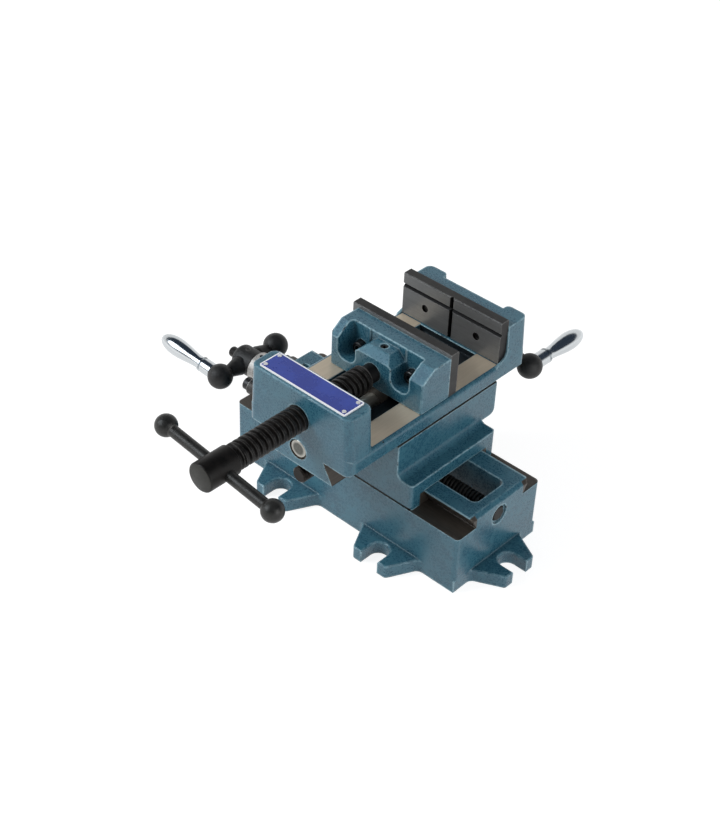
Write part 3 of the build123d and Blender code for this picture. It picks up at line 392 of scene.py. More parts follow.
def castMaterial(name, machined, seamShadows, stretch):
    # machined: a pair of colours and the boxes in which the faces are bare metal of these colours
    # boxes along joints, where a dark shadow line is painted with low specular and no painted edge
    # highlight
    material, tree, shader, point = newMaterial(name, Specular_IOR_Level=enamel["specular"])
    skin = useGroup(tree, castSkin, Point=point)
    wearAndLight = useGroup(tree, wearAndPaintedLight, Point=point)
    marks = useGroup(tree, cutMarks, Point=point, Stretch=stretch, Scale=enamel["marks"])
    # Painted highlight along outer edges and inner corners, left out where a seam shadow is painted
    glint = times(tree, wearAndLight["Edge"], enamel["glint"])
    root = times(tree, wearAndLight["Root"], enamel["rootGlint"])
    seamShadow = unionOfBoxes(tree, point, seamShadows)
    if seamShadow is not None:
        outsideSeamShadow = inverse(tree, seamShadow)
        glint, root = times(tree, glint, outsideSeamShadow), times(tree, root, outsideSeamShadow)
    tone = remap(tree, skin["Tone"], *enamel["toneRange"])
    # Paint tone, painted shade in hollows, painted highlights, then worn chips and pits
    paint = layered(
        tree, blendColour(tree, tone, enamel["dark"], enamel["light"]),
        (remap(tree, wearAndLight["Hollow"], *enamel["hollowRange"]), enamel["hollow"]),
        (glint, enamel["edge"]),
        (root, enamel["edge"]),
        (remap(tree, times(tree, wearAndLight["Edge"], skin["Chip"]), *enamel["chipRange"]),
         enamel["chip"]),
        (skin["Pit"], enamel["pit"]))
    bareTone = remap(tree, marks["Tone"], *enamel["bareTone"])
    masks = []
    for (dark, light), boxes in machined:
        masks.append(unionOfBoxes(tree, point, boxes))
        paint = blendColour(tree, masks[-1], paint, blendColour(tree, bareTone, dark, light))
    bare = most(tree, *masks)
    # Painted shadow inside the seam boxes: dark colour and lower specular
    if seamShadow is not None:
        paint = blendColour(tree, seamShadow, paint, enamel["seamShadow"])
        feed(tree, shader.inputs["Specular IOR Level"],
             remap(tree, seamShadow, 0.0, 1.0, enamel["specular"], enamel["seamShadowSpecular"]))
    rough = remap(tree, skin["Tone"], *enamel["roughRange"])
    scratch = times(tree, times(tree, marks["Height"], enamel["bareScratch"]), bare)
    height = plus(tree, times(tree, skin["Height"], inverse(tree, bare)), scratch)
    feed(tree, shader.inputs["Base Color"], paint)
    feed(tree, shader.inputs["Metallic"], times(tree, bare, enamel["bareMetallic"]))
    feed(tree, shader.inputs["Roughness"],
         plus(tree, rough, times(tree, bare, enamel["bareRough"])))
    bumpFrom(tree, shader, height, enamel["bump"], enamel["rounding"])
    return material


darkWay = (srgb(60, 56, 51), srgb(82, 76, 69))
lightWay = (srgb(196, 182, 160), srgb(206, 192, 171))
# Trough floor between the body's ways: a dark colour that stands in for the shade lying there
shadedTroughFloor = (srgb(20, 27, 31), srgb(33, 42, 47))

castings = {
    "base": {
        "machined": [(darkWay, [((-90.5, -38, 40.3), (90.5, -21, 48.6)),
                                ((-90.5, 21, 40.3), (90.5, 38, 48.6)),
                                ((-80, -60, -0.5), (80, 60, 0.3))])],
        "seamShadows": [],
        "stretch": alongX,
    },
    "saddle": {
        "machined": [(darkWay, [((-39, -40, 81.1), (44, 52, 82)),
                                ((-60, -30, 39), (60, 30, 49.6)),
                                ((-32, -40, 68), (32, 52, 82))])],
        # Painted shadow line along the saddle's foot, front and back
        "seamShadows": [((-50, -38, 40), (55, -36.6, 42)), ((-50, 36.6, 40), (55, 38, 42))],
        "stretch": alongY,
    },
    "vise_body": {
        "machined": [(lightWay, [((-35.2, -57.8, 91.6), (-19.5, 51.3, 92.4)),
                                 ((24.5, -57.8, 91.6), (40.2, 51.3, 92.4))]),
                     # The trough floor, drawn as bare metal in a colour of painted shade
                     (shadedTroughFloor, [((-19.6, -57.7, 82.5), (24.6, 57, 91.9))]),
                     (darkWay, [((-40, -78, 66), (45, 76, 81.8))])],
        "seamShadows": [],
        "stretch": alongY,
    },
    "movable_jaw": {
        "machined": [(darkWay, [((-35, -18, 60), (41, 7, 92.5))])],
        "seamShadows": [],
        "stretch": alongX,
    },
}

# Black oxide: the finishes and what they share
clampEnd = ((-7, -152, 93), (12, -151.0, 112))
blackFinishes = {
    "blackOxide": {"dark": srgb(28, 28, 27), "light": srgb(42, 42, 40), "rough": 0.42},
    "blackThread": {"dark": srgb(9, 8, 7), "light": srgb(20, 17, 15), "rough": 0.46,
                    "rubbed": [clampEnd], "metallic": 0.1, "gloss": 0.25},
    "crankBlack": {"dark": srgb(30, 30, 30), "light": srgb(46, 46, 46), "rough": 0.52,
                   "bump": 0.00010},
    "screwBlack": {"dark": srgb(16, 16, 17), "light": srgb(30, 30, 32), "rough": 0.36},
}
blackLook = {
    "cloud": 150.0,
    "reach": 0.0007,
    "toneRange": (0.35, 0.65),
    "rubbed": srgb(44, 44, 41),
    "edge": srgb(104, 103, 100),
    "edgeShare": 0.45,
    "roughRange": (0.3, 0.7),
    "smoother": 0.06,
    "rougher": 0.08,
}


def blackSteel(name, dark, light, rough, bump=0.00004, rubbed=(), metallic=0.35, gloss=0.55):
    # A thin dark film, greyer where hands and tools rub the edges and inside the rubbed boxes
    material, tree, shader, point = newMaterial(name, Metallic=metallic, Specular_IOR_Level=gloss)
    cloud = useGroup(tree, mottle, Point=point, Scale=blackLook["cloud"])
    wearAndLight = useGroup(tree, wearAndPaintedLight, Point=point, Reach=blackLook["reach"])
    tone = remap(tree, cloud["Tone"], *blackLook["toneRange"])
    colour = blendColour(tree, tone, dark, light)
    if rubbed:
        colour = layered(tree, colour, (unionOfBoxes(tree, point, rubbed), blackLook["rubbed"]))
    edge = times(tree, wearAndLight["Edge"], blackLook["edgeShare"])
    feed(tree, shader.inputs["Base Color"], blendColour(tree, edge, colour, blackLook["edge"]))
    feed(tree, shader.inputs["Roughness"],
         remap(tree, cloud["Tone"], *blackLook["roughRange"], rough - blackLook["smoother"],
               rough + blackLook["rougher"]))
    bumpFrom(tree, shader, cloud["Height"], bump)
    return material


# Bare metals with grinding marks: the finishes and what they share
steelFinishes = {
    "satinSteel": {"dark": srgb(78, 80, 76), "light": srgb(104, 105, 100), "rough": 0.30},
    "rivetSilver": {"dark": srgb(222, 224, 226), "light": srgb(242, 243, 244), "rough": 0.26,
                    "metallic": 0.4},
    "leadScrewSteel": {"dark": srgb(26, 24, 23), "light": srgb(44, 40, 37), "rough": 0.36,
                       "film": 0.1, "edge": srgb(70, 64, 58)},
    "bracketIron": {"dark": srgb(58, 57, 56), "light": srgb(86, 84, 82), "rough": 0.42,
                    "film": 0.1},
    "gibIron": {"dark": srgb(60, 57, 54), "light": srgb(88, 84, 80), "rough": 0.36, "film": 0.1,
                "stretch": alongX},
    "nutBronze": {"dark": srgb(120, 90, 48), "light": srgb(168, 132, 76), "rough": 0.32,
                  "film": 0.1},
}
steelLook = {
    "marks": 1300.0,
    "cloud": 60.0,
    "reach": 0.0007,
    "mix": (0.7, 0.3),  # marks and cloud
    "toneRange": (0.38, 0.62),
    "edge": srgb(190, 188, 184),
    "edgeShare": 0.5,
    "roughRange": (0.3, 0.7),
    "rougher": 0.12,
    "bump": 0.00003,
}


def groundSteel(name, dark, light, rough, stretch=allRound, film=0.0, metallic=0.9,
                edge=steelLook["edge"]):
    # Grinding marks along one direction, duller in cloudy patches; film adds to their roughness
    material, tree, shader, point = newMaterial(name, Metallic=metallic)
    marks = useGroup(tree, cutMarks, Point=point, Stretch=stretch, Scale=steelLook["marks"])
    wearAndLight = useGroup(tree, wearAndPaintedLight, Point=point, Reach=steelLook["reach"])
    cloud = useGroup(tree, mottle, Point=point, Scale=steelLook["cloud"])
    tone = weigh(tree, *zip((marks["Tone"], cloud["Tone"]), steelLook["mix"]))
    colour = blendColour(tree, remap(tree, tone, *steelLook["toneRange"]), dark, light)
    colour = blendColour(tree, times(tree, wearAndLight["Edge"], steelLook["edgeShare"]), colour, edge)
    feed(tree, shader.inputs["Base Color"], colour)
    feed(tree, shader.inputs["Roughness"],
         remap(tree, tone, *steelLook["roughRange"], rough, rough + steelLook["rougher"] + film))
    bumpFrom(tree, shader, marks["Height"], steelLook["bump"])
    return material


jawPlate = {
    "ground": (srgb(104, 105, 105), srgb(116, 117, 117)),
    "film": (srgb(36, 36, 37), srgb(50, 50, 49)),
    # colour of the painted shade in the plates' hollows
    "hollow": srgb(20, 19, 19),
    "edge": srgb(140, 139, 137),
    "groove": srgb(12, 12, 12),
    "marks": 1500.0,
    "cloud": 70.0,
    "reach": 0.0008,
    "depth": 0.0025,
    "groundRange": (0.30, 0.70),
    "filmRange": (0.36, 0.64),
    "edgeShare": 0.3,
    "facing": (0.86, 0.95),  # how squarely a face looks along Y before it counts as ground
    "hollowRange": (0.15, 0.6),
    "roughRange": (0.3, 0.7, 0.30, 0.44),
    "specular": (0.22, 0.05),  # on the faces and in the grooves
    "metallic": (0.4, 0.0),
    "bump": 0.00002,
    # Space just behind each plate's ground face: only groove sides and screw holes lie in it
    "grooves": [((-35.7, 51.5, 92.6), (40.7, 57.9, 121.3)),
                ((-35.3, 6.6, 92.6), (40.3, 12.85, 121.3))],
}


def jawPlateMaterial():
    # Dark film on top and ends, black in the grooves, ground faces with the lines along them,
    # painted shade in hollows
    material, tree, shader, point = newMaterial("jawPlateSteel")
    marks = useGroup(tree, cutMarks, Point=point, Stretch=alongX, Scale=jawPlate["marks"])
    wearAndLight = useGroup(tree, wearAndPaintedLight, Point=point, Reach=jawPlate["reach"],
                    Depth=jawPlate["depth"])
    cloud = useGroup(tree, mottle, Point=point, Scale=jawPlate["cloud"])
    groundTone = remap(tree, marks["Tone"], *jawPlate["groundRange"])
    ground = blendColour(tree, groundTone, *jawPlate["ground"])
    filmTone = remap(tree, cloud["Tone"], *jawPlate["filmRange"])
    film = blendColour(tree, filmTone, *jawPlate["film"])
    normal = addNode(tree, "ShaderNodeNewGeometry").outputs["Normal"]
    level = maths(tree, "ABSOLUTE", splitAxes(tree, normal)[1])
    groove = unionOfBoxes(tree, point, jawPlate["grooves"])
    colour = layered(
        tree, film,
        (remap(tree, level, *jawPlate["facing"]), ground),
        (remap(tree, wearAndLight["Hollow"], *jawPlate["hollowRange"]), jawPlate["hollow"]),
        (times(tree, wearAndLight["Edge"], jawPlate["edgeShare"]), jawPlate["edge"]),
        (groove, jawPlate["groove"]))
    feed(tree, shader.inputs["Base Color"], colour)
    feed(tree, shader.inputs["Specular IOR Level"],
         remap(tree, groove, 0.0, 1.0, *jawPlate["specular"]))
    feed(tree, shader.inputs["Metallic"], remap(tree, groove, 0.0, 1.0, *jawPlate["metallic"]))
    feed(tree, shader.inputs["Roughness"], remap(tree, marks["Tone"], *jawPlate["roughRange"]))
    bumpFrom(tree, shader, marks["Height"], jawPlate["bump"])
    return material


chrome = {"dull": srgb(190, 194, 197), "bright": srgb(206, 210, 212), "cloud": 45.0,
          "roughRange": (0.3, 0.7, 0.13, 0.20)}


def chromeMaterial():
    # Polished chrome: faint finger film in slow clouds
    material, tree, shader, point = newMaterial("handleChrome", Metallic=1.0)
    cloud = useGroup(tree, mottle, Point=point, Scale=chrome["cloud"])["Tone"]
    colour = blendColour(tree, cloud, chrome["dull"], chrome["bright"])
    feed(tree, shader.inputs["Base Color"], colour)
    feed(tree, shader.inputs["Roughness"], remap(tree, cloud, *chrome["roughRange"]))
    return material


namePlate = {
    "dark": srgb(34, 54, 142), "light": srgb(44, 68, 160), "line": srgb(248, 249, 252),
    "border": 0.75, "fade": 0.12,  # width of the line and of its soft inner side, mm
    "cloud": 60.0, "toneRange": (0.35, 0.65), "roughRange": (0.3, 0.7, 0.24, 0.34),
    "bump": 0.00005, "ripple": 0.1,
}


def namePlateMaterial():
    # Blue plate with a white line round it: the distance to the nearest edge picks the colour
    material, tree, shader, point = newMaterial("plateBlueInk", Metallic=0.0)
    where = splitAxes(tree, point)
    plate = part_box("name_plate")
    nearest = None
    for axis in (0, 1):
        for edge, sign in ((plate[0][axis], 1), (plate[1][axis], -1)):
            gap = times(tree, minus(tree, where[axis], edge), sign)
            nearest = gap if nearest is None else maths(tree, "MINIMUM", nearest, gap)
    border = namePlate["border"]
    line = remap(tree, nearest, border * mm, (border + namePlate["fade"]) * mm, 1.0, 0.0)
    cloud = useGroup(tree, mottle, Point=point, Scale=namePlate["cloud"])
    tone = remap(tree, cloud["Tone"], *namePlate["toneRange"])
    ink = blendColour(tree, tone, namePlate["dark"], namePlate["light"])
    feed(tree, shader.inputs["Base Color"], blendColour(tree, line, ink, namePlate["line"]))
    feed(tree, shader.inputs["Roughness"], remap(tree, cloud["Tone"], *namePlate["roughRange"]))
    height = plus(tree, line, times(tree, cloud["Height"], namePlate["ripple"]))
    bumpFrom(tree, shader, height, namePlate["bump"])
    return material


dials = {
    "x": {"name": "baseDialSteel", "axis": 0, "centre": (-103.0, 0, 37.5), "marks": (-2.6, 3.8)},
    "y": {"name": "bodyDialSteel", "axis": 1, "centre": (2.5, 89.0, 60.0), "marks": (-3.8, 2.6)},
    "dark": srgb(172, 170, 166), "light": srgb(196, 194, 190),
    "stroke": srgb(70, 58, 50), "strokeShare": 0.75, "strokeRange": (0.38, 0.44),
    "edge": srgb(214, 214, 214), "edgeShare": 0.4, "reach": 0.0007,
    "divisions": 50, "metallic": 0.45, "scale": 900.0, "toneRange": (0.36, 0.64),
    "roughRange": (0.3, 0.7, 0.42, 0.56), "bump": 0.00006, "grain": 0.2,
}


def dialMaterial(which):
    # Satin collar with fine engraved divisions: dark lines by angle round the screw
    item = dials[which]
    axis, (first, last) = item["axis"], item["marks"]
    material, tree, shader, point = newMaterial(item["name"], Metallic=dials["metallic"])
    where = splitAxes(tree, vectorMaths(tree, "SUBTRACT", point, inMetres(item["centre"])))
    angle = maths(tree, "ARCTAN2", where[2], where[1 - axis])
    turn = maths(tree, "FRACT", times(tree, angle, dials["divisions"] / (2 * math.pi)))
    off = maths(tree, "ABSOLUTE", minus(tree, turn, 0.5))
    span = times(tree, maths(tree, "GREATER_THAN", where[axis], first * mm),
                 maths(tree, "LESS_THAN", where[axis], last * mm))
    stroke = times(tree, remap(tree, off, *dials["strokeRange"]), span)
    marks = useGroup(tree, cutMarks, Point=point, Stretch=allRound, Scale=dials["scale"])
    wearAndLight = useGroup(tree, wearAndPaintedLight, Point=point, Reach=dials["reach"])
    tone = remap(tree, marks["Tone"], *dials["toneRange"])
    colour = layered(
        tree, blendColour(tree, tone, dials["dark"], dials["light"]),
        (times(tree, stroke, dials["strokeShare"]), dials["stroke"]),
        (times(tree, wearAndLight["Edge"], dials["edgeShare"]), dials["edge"]))
    feed(tree, shader.inputs["Base Color"], colour)
    feed(tree, shader.inputs["Roughness"], remap(tree, marks["Tone"], *dials["roughRange"]))
    height = minus(tree, times(tree, marks["Height"], dials["grain"]), stroke)
    bumpFrom(tree, shader, height, dials["bump"])
    return material


guideRod = {
    # bright: the colour of the painted highlight at the end face's rim
    "dark": srgb(70, 71, 67), "light": srgb(96, 97, 92), "bright": srgb(188, 186, 178),
    "centre": (2.5, 0.0, 80.0), "rim": (3.2, 5.0), "rimHighlightShare": 0.75,
    "edgeShare": 0.3, "reach": 0.0007, "marks": 1300.0, "toneRange": (0.36, 0.64),
    "metallic": 0.8, "roughRange": (0.3, 0.7, 0.28, 0.40), "bump": 0.00003,
}


def rodMaterial():
    # Its turned end face gets a painted highlight at the rim and keeps the plain steel tone in the
    # middle, by distance from the axis; the highlight covers the rod's sides too
    material, tree, shader, point = newMaterial("guideRodSteel", Metallic=guideRod["metallic"])
    marks = useGroup(tree, cutMarks, Point=point, Stretch=allRound, Scale=guideRod["marks"])
    wearAndLight = useGroup(tree, wearAndPaintedLight, Point=point, Reach=guideRod["reach"])
    offset = vectorMaths(tree, "SUBTRACT", point, inMetres(guideRod["centre"]))
    flat = vectorMaths(tree, "MULTIPLY", offset, (1.0, 0.0, 1.0))
    rim = remap(tree, vectorMaths(tree, "LENGTH", flat), *inMetres(guideRod["rim"]))
    tone = remap(tree, marks["Tone"], *guideRod["toneRange"])
    colour = layered(
        tree, blendColour(tree, tone, guideRod["dark"], guideRod["light"]),
        # Painted highlight from 3.2 mm off the axis outwards, on the end face's rim and the rod's
        # sides
        (times(tree, rim, guideRod["rimHighlightShare"]), guideRod["bright"]),
        (times(tree, wearAndLight["Edge"], guideRod["edgeShare"]), guideRod["dark"]))
    feed(tree, shader.inputs["Base Color"], colour)
    feed(tree, shader.inputs["Roughness"], remap(tree, marks["Tone"], *guideRod["roughRange"]))
    bumpFrom(tree, shader, marks["Height"], guideRod["bump"])
    return material


# Which finish each node wears; the screws, pins and nuts that aren't named are screwBlack
materials = [castMaterial(name + "_enamel", **given) for name, given in castings.items()]
materials += [blackSteel(name, **given) for name, given in blackFinishes.items()]
materials += [groundSteel(name, **given) for name, given in steelFinishes.items()]
materials += [jawPlateMaterial(), chromeMaterial(), namePlateMaterial(), dialMaterial("x"),
              dialMaterial("y"), rodMaterial()]
materials = {material.name: material for material in materials}

nodeFinishes = {
    "fixed_jaw_plate": "jawPlateSteel", "movable_jaw_plate": "jawPlateSteel",
    "name_plate": "plateBlueInk", "plate_rivets": "rivetSilver",
    "x_dial": "baseDialSteel", "y_dial": "bodyDialSteel",
    "x_handle": "handleChrome", "y_handle": "handleChrome",
    "x_handle_spindle": "satinSteel", "y_handle_spindle": "satinSteel",
    "x_crank": "crankBlack", "y_crank": "crankBlack",
    "jaw_screw": "blackOxide", "handle_bar": "blackOxide", "handle_balls": "blackOxide",
    "guide_rod": "guideRodSteel", "x_lead_screw": "blackThread", "y_lead_screw": "leadScrewSteel",
    "x_bracket": "bracketIron", "y_bracket": "bracketIron",
    "x_gib": "gibIron", "y_gib": "gibIron", "x_nut": "nutBronze", "y_nut": "nutBronze",
}
for name in nodes:
    finish = name + "_enamel" if name in castings else nodeFinishes.get(name, "screwBlack")
    slots = nodes[name].data.materials
    if len(slots) == 0:
        slots.append(materials[finish])
    for index in range(len(slots)):
        slots[index] = materials[finish]
print("stage: finishes on", len(nodes), "nodes")


# Turned and threaded pieces, with their sizes in mm
sharpFrom = 40.0  # degrees between two faces from which their edge stays sharp
shoulderStep = 0.01  # mm along the axis between the two corners of a square shoulder


def meshPiece(name, points, faces, material, body):
    mesh = bpy.data.meshes.new(name)
    mesh.from_pydata(points.tolist(), [], faces)
    mesh.materials.append(material)
    mesh.polygons.foreach_set("use_smooth", np.ones(len(mesh.polygons), bool))
    mesh.set_sharp_from_angle(angle=math.radians(sharpFrom))
    mesh.update()
    piece = bpy.data.objects.new(name, mesh)
    bpy.context.scene.collection.objects.link(piece)
    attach(piece, body)
    return piece


def turnedSurface(along, radius, sides, origin, axis):
    # Rings of radius (row, side) at distances along the axis, closed with one point at each end
    axis = np.array(axis, float) / np.linalg.norm(axis)
    helper = np.array([0.0, 0.0, 1.0]) if abs(axis[2]) < 0.9 else np.array([1.0, 0.0, 0.0])
    first = np.cross(helper, axis)
    first /= np.linalg.norm(first)
    second = np.cross(axis, first)
    angle = np.arange(sides) * 2 * math.pi / sides
    radius = np.asarray(radius, float).reshape(len(along), -1)
    radius = np.broadcast_to(radius, (len(along), sides))
    rim = np.cos(angle)[None, :, None] * first + np.sin(angle)[None, :, None] * second
    rings = np.asarray(along)[:, None, None] * axis + radius[:, :, None] * rim
    ends = np.array([axis * along[0], axis * along[-1]])
    points = np.vstack([rings.reshape(-1, 3), ends]) + np.array(origin, float)
    rows = len(along)
    grid = np.arange(rows * sides).reshape(rows, sides)
    right = np.roll(grid, -1, axis=1)
    quads = np.stack([grid[:-1], right[:-1], right[1:], grid[1:]], axis=-1).reshape(-1, 4)
    foot = np.stack([np.full(sides, rows * sides), right[0], grid[0]], axis=-1)
    lid = np.stack([np.full(sides, rows * sides + 1), grid[-1], right[-1]], axis=-1)
    return points * mm, quads.tolist() + foot.tolist() + lid.tolist()


def curveThrough(knots, rows):
    # Smooth profile: cubic pieces through the knots with slopes from their neighbours
    knots = np.array(knots, float)
    at, value = knots[:, 0], knots[:, 1]
    slope = np.gradient(value, at)
    spots = np.linspace(at[0], at[-1], rows)
    cell = np.clip(np.searchsorted(at, spots) - 1, 0, len(at) - 2)
    width = at[cell + 1] - at[cell]
    t = (spots - at[cell]) / width
    smooth = value[cell] * (1 + 2 * t) * (1 - t) ** 2 + value[cell + 1] * t * t * (3 - 2 * t)
    bend = slope[cell] * t * (1 - t) ** 2 + slope[cell + 1] * t * t * (t - 1)
    return spots, smooth + width * bend


def threadedRod(profile, start, end, thread):
    # Profile corners are (distance, radius). Between start and end the radius drops by depth
    # where the helix phase, distance over pitch plus the share of a turn, is in a groove
    profile, sides = np.array(profile, float), thread["sides"]
    rows = int(round((end - start) / thread["pitch"] * thread["rowsPerTurn"]))
    inside = np.linspace(start, end, rows + 1)
    outside = profile[(profile[:, 0] < start - 1e-6) | (profile[:, 0] > end + 1e-6)]
    along = np.sort(np.concatenate([outside[:, 0], inside]))
    base = np.interp(along, profile[:, 0], profile[:, 1])
    for spot, radius in outside:
        base[np.isclose(along, spot)] = radius
    turn = along[:, None] / thread["pitch"] * thread["hand"]
    phase = (turn + np.arange(sides)[None, :] / sides) % 1.0
    groove = (np.abs(phase - 0.5) - thread["land"] / 2) / thread["ramp"]
    fadeIn = np.clip((along - start) / thread["runOut"], 0, 1)
    fadeOut = np.clip((end - along) / thread["runOut"], 0, 1)
    drop = thread["depth"] * np.clip(groove, 0, 1) * (fadeIn * fadeOut)[:, None]
    return along, base[:, None] - drop


clampScrew = {
    "centre": (2.5, 102.5),  # X and Z of its axis
    "hub": 9.0, "hubLength": 22.4,
    "hubRound": [(0, 1.1), (0.25, 0.55), (0.7, 0.15), (1.3, 0)],  # along, short of the radius
    "hubChamfer": 0.6,
    "neck": 1.2, "neckLength": 2.4, "neckRise": 3.2,  # behind the hub
    "threadFrom": 3.3, "threadShort": 1.1,
    "outer": 8.0, "outerChamfer": 1,
    "journal": 6.0, "journalLength": 21.0, "journalChamfer": 0.8,
    "waist": 4.3, "waistFromEnd": 4.3, "waistHalf": 2.1,
    "thread": {"pitch": 4.0, "depth": 1.7, "land": 0.40, "ramp": 0.13, "runOut": 1.2,
               "rowsPerTurn": 28, "hand": -1, "sides": 64},
}


def makeClampScrew():
    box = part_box("jaw_screw")
    origin = (clampScrew["centre"][0], box[0][1] / mm, clampScrew["centre"][1])
    length = (box[1][1] - box[0][1]) / mm
    hub, hubEnd, hubCut = (clampScrew[key] for key in ("hub", "hubLength", "hubChamfer"))
    outer, outerCut, neck = (clampScrew[key] for key in ("outer", "outerChamfer", "neck"))
    journal, journalCut = clampScrew["journal"], clampScrew["journalChamfer"]
    waist, half = clampScrew["waist"], clampScrew["waistHalf"]
    shoulder = length - clampScrew["journalLength"]
    middle = length - clampScrew["waistFromEnd"]
    profile = [(at, hub - short) for at, short in clampScrew["hubRound"]] + [
        (hubEnd - hubCut, hub), (hubEnd, hub - hubCut), (hubEnd + shoulderStep, outer - neck),
        (hubEnd + clampScrew["neckLength"], outer - neck), (hubEnd + clampScrew["neckRise"], outer),
        (shoulder - outerCut, outer), (shoulder, outer - outerCut),
        (shoulder + shoulderStep, journal),
        (middle - half, journal), (middle - half + shoulderStep, waist),
        (middle + half - shoulderStep, waist), (middle + half, journal),
        (length - journalCut, journal), (length, journal - journalCut)]
    thread = clampScrew["thread"]
    along, radius = threadedRod(profile, hubEnd + clampScrew["threadFrom"],
                                shoulder - clampScrew["threadShort"], thread)
    points, faces = turnedSurface(along, radius, thread["sides"], origin, (0, 1, 0))
    piece = meshPiece("clamp_screw", points, faces, materials["blackThread"], "jaw_screw")
    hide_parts("jaw_screw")


leadScrews = {
    "x": {"body": "x_screw", "node": "x_lead_screw", "axis": (1, 0, 0), "centre": (0, 0, 37.5),
          "outer": -1, "finish": "blackThread"},
    "y": {"body": "y_screw", "node": "y_lead_screw", "axis": (0, 1, 0), "centre": (2.5, 0, 60.0),
          "outer": 1, "finish": "leadScrewSteel"},
    "outside": 44.8,  # plain length outside the casting, up to the crank
    "radius": 5.0, "startCut": (0.9, 0.8), "threadFrom": 1.5, "threadShort": 2.0,
    "journal": 4.0, "tip": 3.5, "tipLength": 8.0,
    "tipRound": [(1.2, 0), (0.5, 0.35), (0, 1.2)],  # from the end, short of the radius
    "thread": {"pitch": 2.5, "depth": 1.1, "land": 0.42, "ramp": 0.12, "runOut": 1.0,
               "rowsPerTurn": 18, "hand": -1, "sides": 36},
}


def makeLeadScrew(which):
    item = leadScrews[which]
    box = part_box(item["node"])
    index = item["axis"].index(1)
    low, high = box[0][index] / mm, box[1][index] / mm
    length = high - low
    origin = list(item["centre"])
    origin[index] = high if item["outer"] < 0 else low
    axis = [v * item["outer"] for v in item["axis"]]
    radius, journal, tip = leadScrews["radius"], leadScrews["journal"], leadScrews["tip"]
    cutDepth, cutLength = leadScrews["startCut"]
    inner = length - leadScrews["outside"]
    tipStart = length - leadScrews["tipLength"]
    profile = [
        (0, radius - cutDepth), (cutLength, radius),
        (inner, radius), (inner + shoulderStep, journal),
        (tipStart, journal), (tipStart + shoulderStep, tip)]
    profile += [(length - at, tip - short) for at, short in leadScrews["tipRound"]]
    thread = leadScrews["thread"]
    along, radii = threadedRod(profile, leadScrews["threadFrom"],
                               inner - leadScrews["threadShort"], thread)
    points, faces = turnedSurface(along, radii, thread["sides"], origin, axis)
    piece = meshPiece(which + "_lead_thread", points, faces, materials[item["finish"]],
                      item["body"])
    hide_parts(item["node"])


# Turning handles: collar, waist, long swell and rounded tip round the bore of the spindle
handles = {
    "x": {"body": "x_grip", "node": "x_handle", "centre": (-119.3, -24.699, 37.716),
          "axis": (-0.99863, 0.000457, 0.052334)},
    "y": {"body": "y_grip", "node": "y_handle", "centre": (26.929, 105.3, 56.349),
          "axis": (-0.003869, 0.999657, -0.025889)},
    "seat": 6.3, "bore": 2.56, "length": 47.0, "mouth": 2.7, "sides": 64, "rows": 90,
    "collar": [(0, 4.7), (0.4, 5.1), (8.5, 5.1), (8.9, 4.1), (9.5, 4.1), (9.9, 5.1), (10.9, 5.1)],
    "swell": [(11.5, 4.3), (14.5, 4.25), (19.0, 4.62), (24.5, 5.35), (30.0, 5.95), (35.0, 6.14),
              (39.5, 5.75), (43.5, 4.7), (45.8, 3.6), (46.95, 2.75)],
}


def makeHandle(which):
    item = handles[which]
    spots, swell = curveThrough(handles["swell"], handles["rows"])
    profile = [(0.0, handles["bore"]), *handles["collar"], *zip(spots, swell),
               (handles["length"], handles["mouth"]), (handles["length"], handles["bore"])]
    along, radius = np.array(profile).T
    axis = np.array(item["axis"])
    origin = np.array(item["centre"]) + axis * handles["seat"]
    rings, sides = len(along), handles["sides"]
    points, faces = turnedSurface(along, radius, sides, origin, axis)
    # The bore joins the last ring to the first, so the end points and their triangles go
    grid = np.arange(rings * sides).reshape(rings, sides)
    right = np.roll(grid, -1, axis=1)
    bore = np.stack([grid[-1], right[-1], right[0], grid[0]], axis=-1)
    faces = faces[:(rings - 1) * sides] + bore.tolist()
    piece = meshPiece(which + "_turned_handle", points[:rings * sides], faces,
                      materials["handleChrome"], item["body"])
    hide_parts(item["node"])


makeClampScrew()
makeLeadScrew("x")
makeLeadScrew("y")
makeHandle("x")
makeHandle("y")
print("stage: threads cut, handles turned")


# Studio: pale floor, soft lamps, camera where the photograph was taken from
studio = {
    "floor": (0.80, 0.80, 0.80, 1.0),
    "floorSeen": (0.35, 0.35, 0.35, 1.0),
    "floorHalf": 4.0,
    "floorReach": (0.25, 0.70),
    "floorGlow": (0.84, 1.0),
    "horizon": 0.75,
    "ceiling": (0.034, 0.048, 0.070, 1.0),  # as metal mirrors it
    "ceilingLight": (0.40, 0.41, 0.43, 1.0),  # as it lights the vise
    "band": (0.08, 0.26),
    "backdrop": (-0.66, 0.75, 0.0),
    "backdropRise": 0.60,
    "patch": (0.92, 1.0),
    "patchColour": (6.6, 7.0, 7.4, 1.0),
    "aim": (0.0, 0.0, 0.06),
    "lamps": {
        # Place, width and power. The left one is mirrored as the sky's soft patch, not as a square
        "softLeft": ((-0.72, -0.88, 0.90), 0.50, 12.0),
        "softRight": ((1.15, -0.10, 0.50), 0.70, 5.0),
    },
}


def newTree(owner, outputKind):
    owner.use_nodes = True
    owner.node_tree.nodes.clear()
    return owner.node_tree, addNode(owner.node_tree, outputKind).inputs[0]


def matt(tree, colour):
    node = addNode(tree, "ShaderNodeBsdfDiffuse")
    feed(tree, node.inputs["Color"], colour)
    return node.outputs[0]


